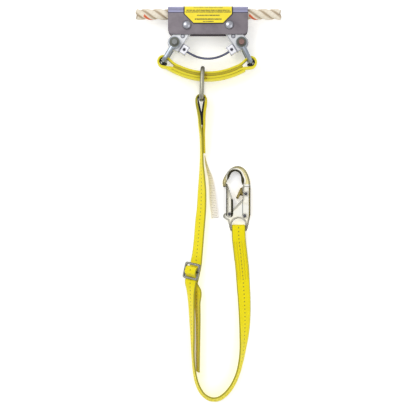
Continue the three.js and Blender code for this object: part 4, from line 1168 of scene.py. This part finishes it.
def cable_half(side):
    """Half of the wire cable, six outer wires twisted round a core, from its block to the middle."""
    mirror = 1 if side == "right" else -1
    full = [np.array([x, y, MID_Z], float) for x, y in CABLE_ROUTE]
    full += [np.array([-x, y, MID_Z], float) for x, y in CABLE_ROUTE[-2::-1]]
    line = [curve_point(full, t) for t in np.linspace(0, HALF_WAY, CABLE_POINTS)]
    verts, faces = [], []
    wires = [(k * math.pi / 3, CABLE_RADIUS - WIRE_RADIUS, WIRE_RADIUS) for k in range(6)]
    wires.append((0.0, 0.0, CORE_RADIUS))
    lengths = distances(line)
    for phase, out, radius in wires:
        first = len(verts)
        for i, point in enumerate(line):
            tangent = unit(line[min(i + 1, len(line) - 1)] - line[max(i - 1, 0)])
            side_way = np.cross(tangent, UPRIGHT)
            length = lengths[i] - lengths[-1]
            turn = phase + mirror * 2 * math.pi * length / CABLE_LAY
            centre = point + (side_way * math.cos(turn) + UPRIGHT * math.sin(turn)) * out
            for s in range(WIRE_SIDES):
                angle = 2 * math.pi * s / WIRE_SIDES
                offset = (side_way * math.cos(angle) + UPRIGHT * math.sin(angle)) * radius
                verts.append(row((centre + offset) * np.array([mirror, 1, 1])))
        faces += [face[::-mirror] for face in tube_faces(first, len(line), WIRE_SIDES)]
        last = len(verts) - WIRE_SIDES
        faces.append([first + s for s in range(WIRE_SIDES)][::mirror])
        faces.append([last + s for s in range(WIRE_SIDES)][::-mirror])
    obj = dressed(mesh_object(f"{side}_cable_half", verts, faces), CABLE_STEEL)
    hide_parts("keeper_cable")
    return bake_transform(obj)


for side in ("left", "right"):
    cable_half(side)


# ---- floor, light and camera ----


FLOOR_HALF = 4.0  # metres
FLOOR_CORNERS = ((-1, -1), (1, -1), (1, 1), (-1, 1))
FLOOR_GLOW = 0.3


def plain_floor():
    """White floor under the object, with a trace of unevenness."""
    corners = [(x * FLOOR_HALF, y * FLOOR_HALF, 0) for x, y in FLOOR_CORNERS]
    floor = mesh_object("floor", corners, [(0, 1, 2, 3)])
    look = Look("floor", (0.95, 0.95, 0.95), 0.9, Specular_IOR_Level=0.1)
    grain = look.noise(look.object_point(), 5, 2.0, 0.5)
    look.set("Base Color", look.ramp(grain, [(0.3, 0.94), (0.7, 0.96)]))
    look.set("Emission Color", (1.0, 1.0, 1.0))
    look.set("Emission Strength", FLOOR_GLOW)
    dressed(floor, look)


def area_light(name, place, target, size, power):
    """A round light at a place, turned to a target, with its size in metres and power in watts."""
    light = bpy.data.lights.new(name, "AREA")
    light.shape, light.size, light.energy = "DISK", size, power
    obj = bpy.data.objects.new(name, light)
    bpy.context.scene.collection.objects.link(obj)
    obj.location = place
    obj.rotation_euler = (Vector(target) - Vector(place)).to_track_quat("-Z", "Y").to_euler()


def soft_world(strength):
    """Even white light from all round."""
    world = bpy.data.worlds.new("studio")
    world.use_nodes = True
    background = world.node_tree.nodes["Background"]
    background.inputs[0].default_value = (1, 1, 1, 1)
    background.inputs[1].default_value = strength
    bpy.context.scene.world = world


def true_colours():
    """Plain display colours, so that the strong yellow is not bleached."""
    bpy.context.scene.view_settings.view_transform = "Standard"


CAMERA_HEIGHT = 2.403  # metres
CAMERA_LENS, CAMERA_SENSOR = 110.5, 36  # millimetres


def camera():
    """The camera, straight above the part and looking down."""
    data = bpy.data.cameras.new("camera")
    data.lens, data.sensor_width = CAMERA_LENS, CAMERA_SENSOR
    data.clip_start, data.clip_end = 0.1, 20
    obj = bpy.data.objects.new("camera", data)
    bpy.context.scene.collection.objects.link(obj)
    obj.location = (*row([0, 0, 0])[:2], CAMERA_HEIGHT)
    bpy.context.scene.camera = obj


plain_floor()
area_light("key", place=(-0.9, 0.6, 1.8), target=(0, -0.25, 0), size=1.2, power=14)
area_light("fill", place=(1.2, -0.6, 1.6), target=(0, -0.3, 0), size=1.4, power=6)
soft_world(strength=0.72)
true_colours()
camera()
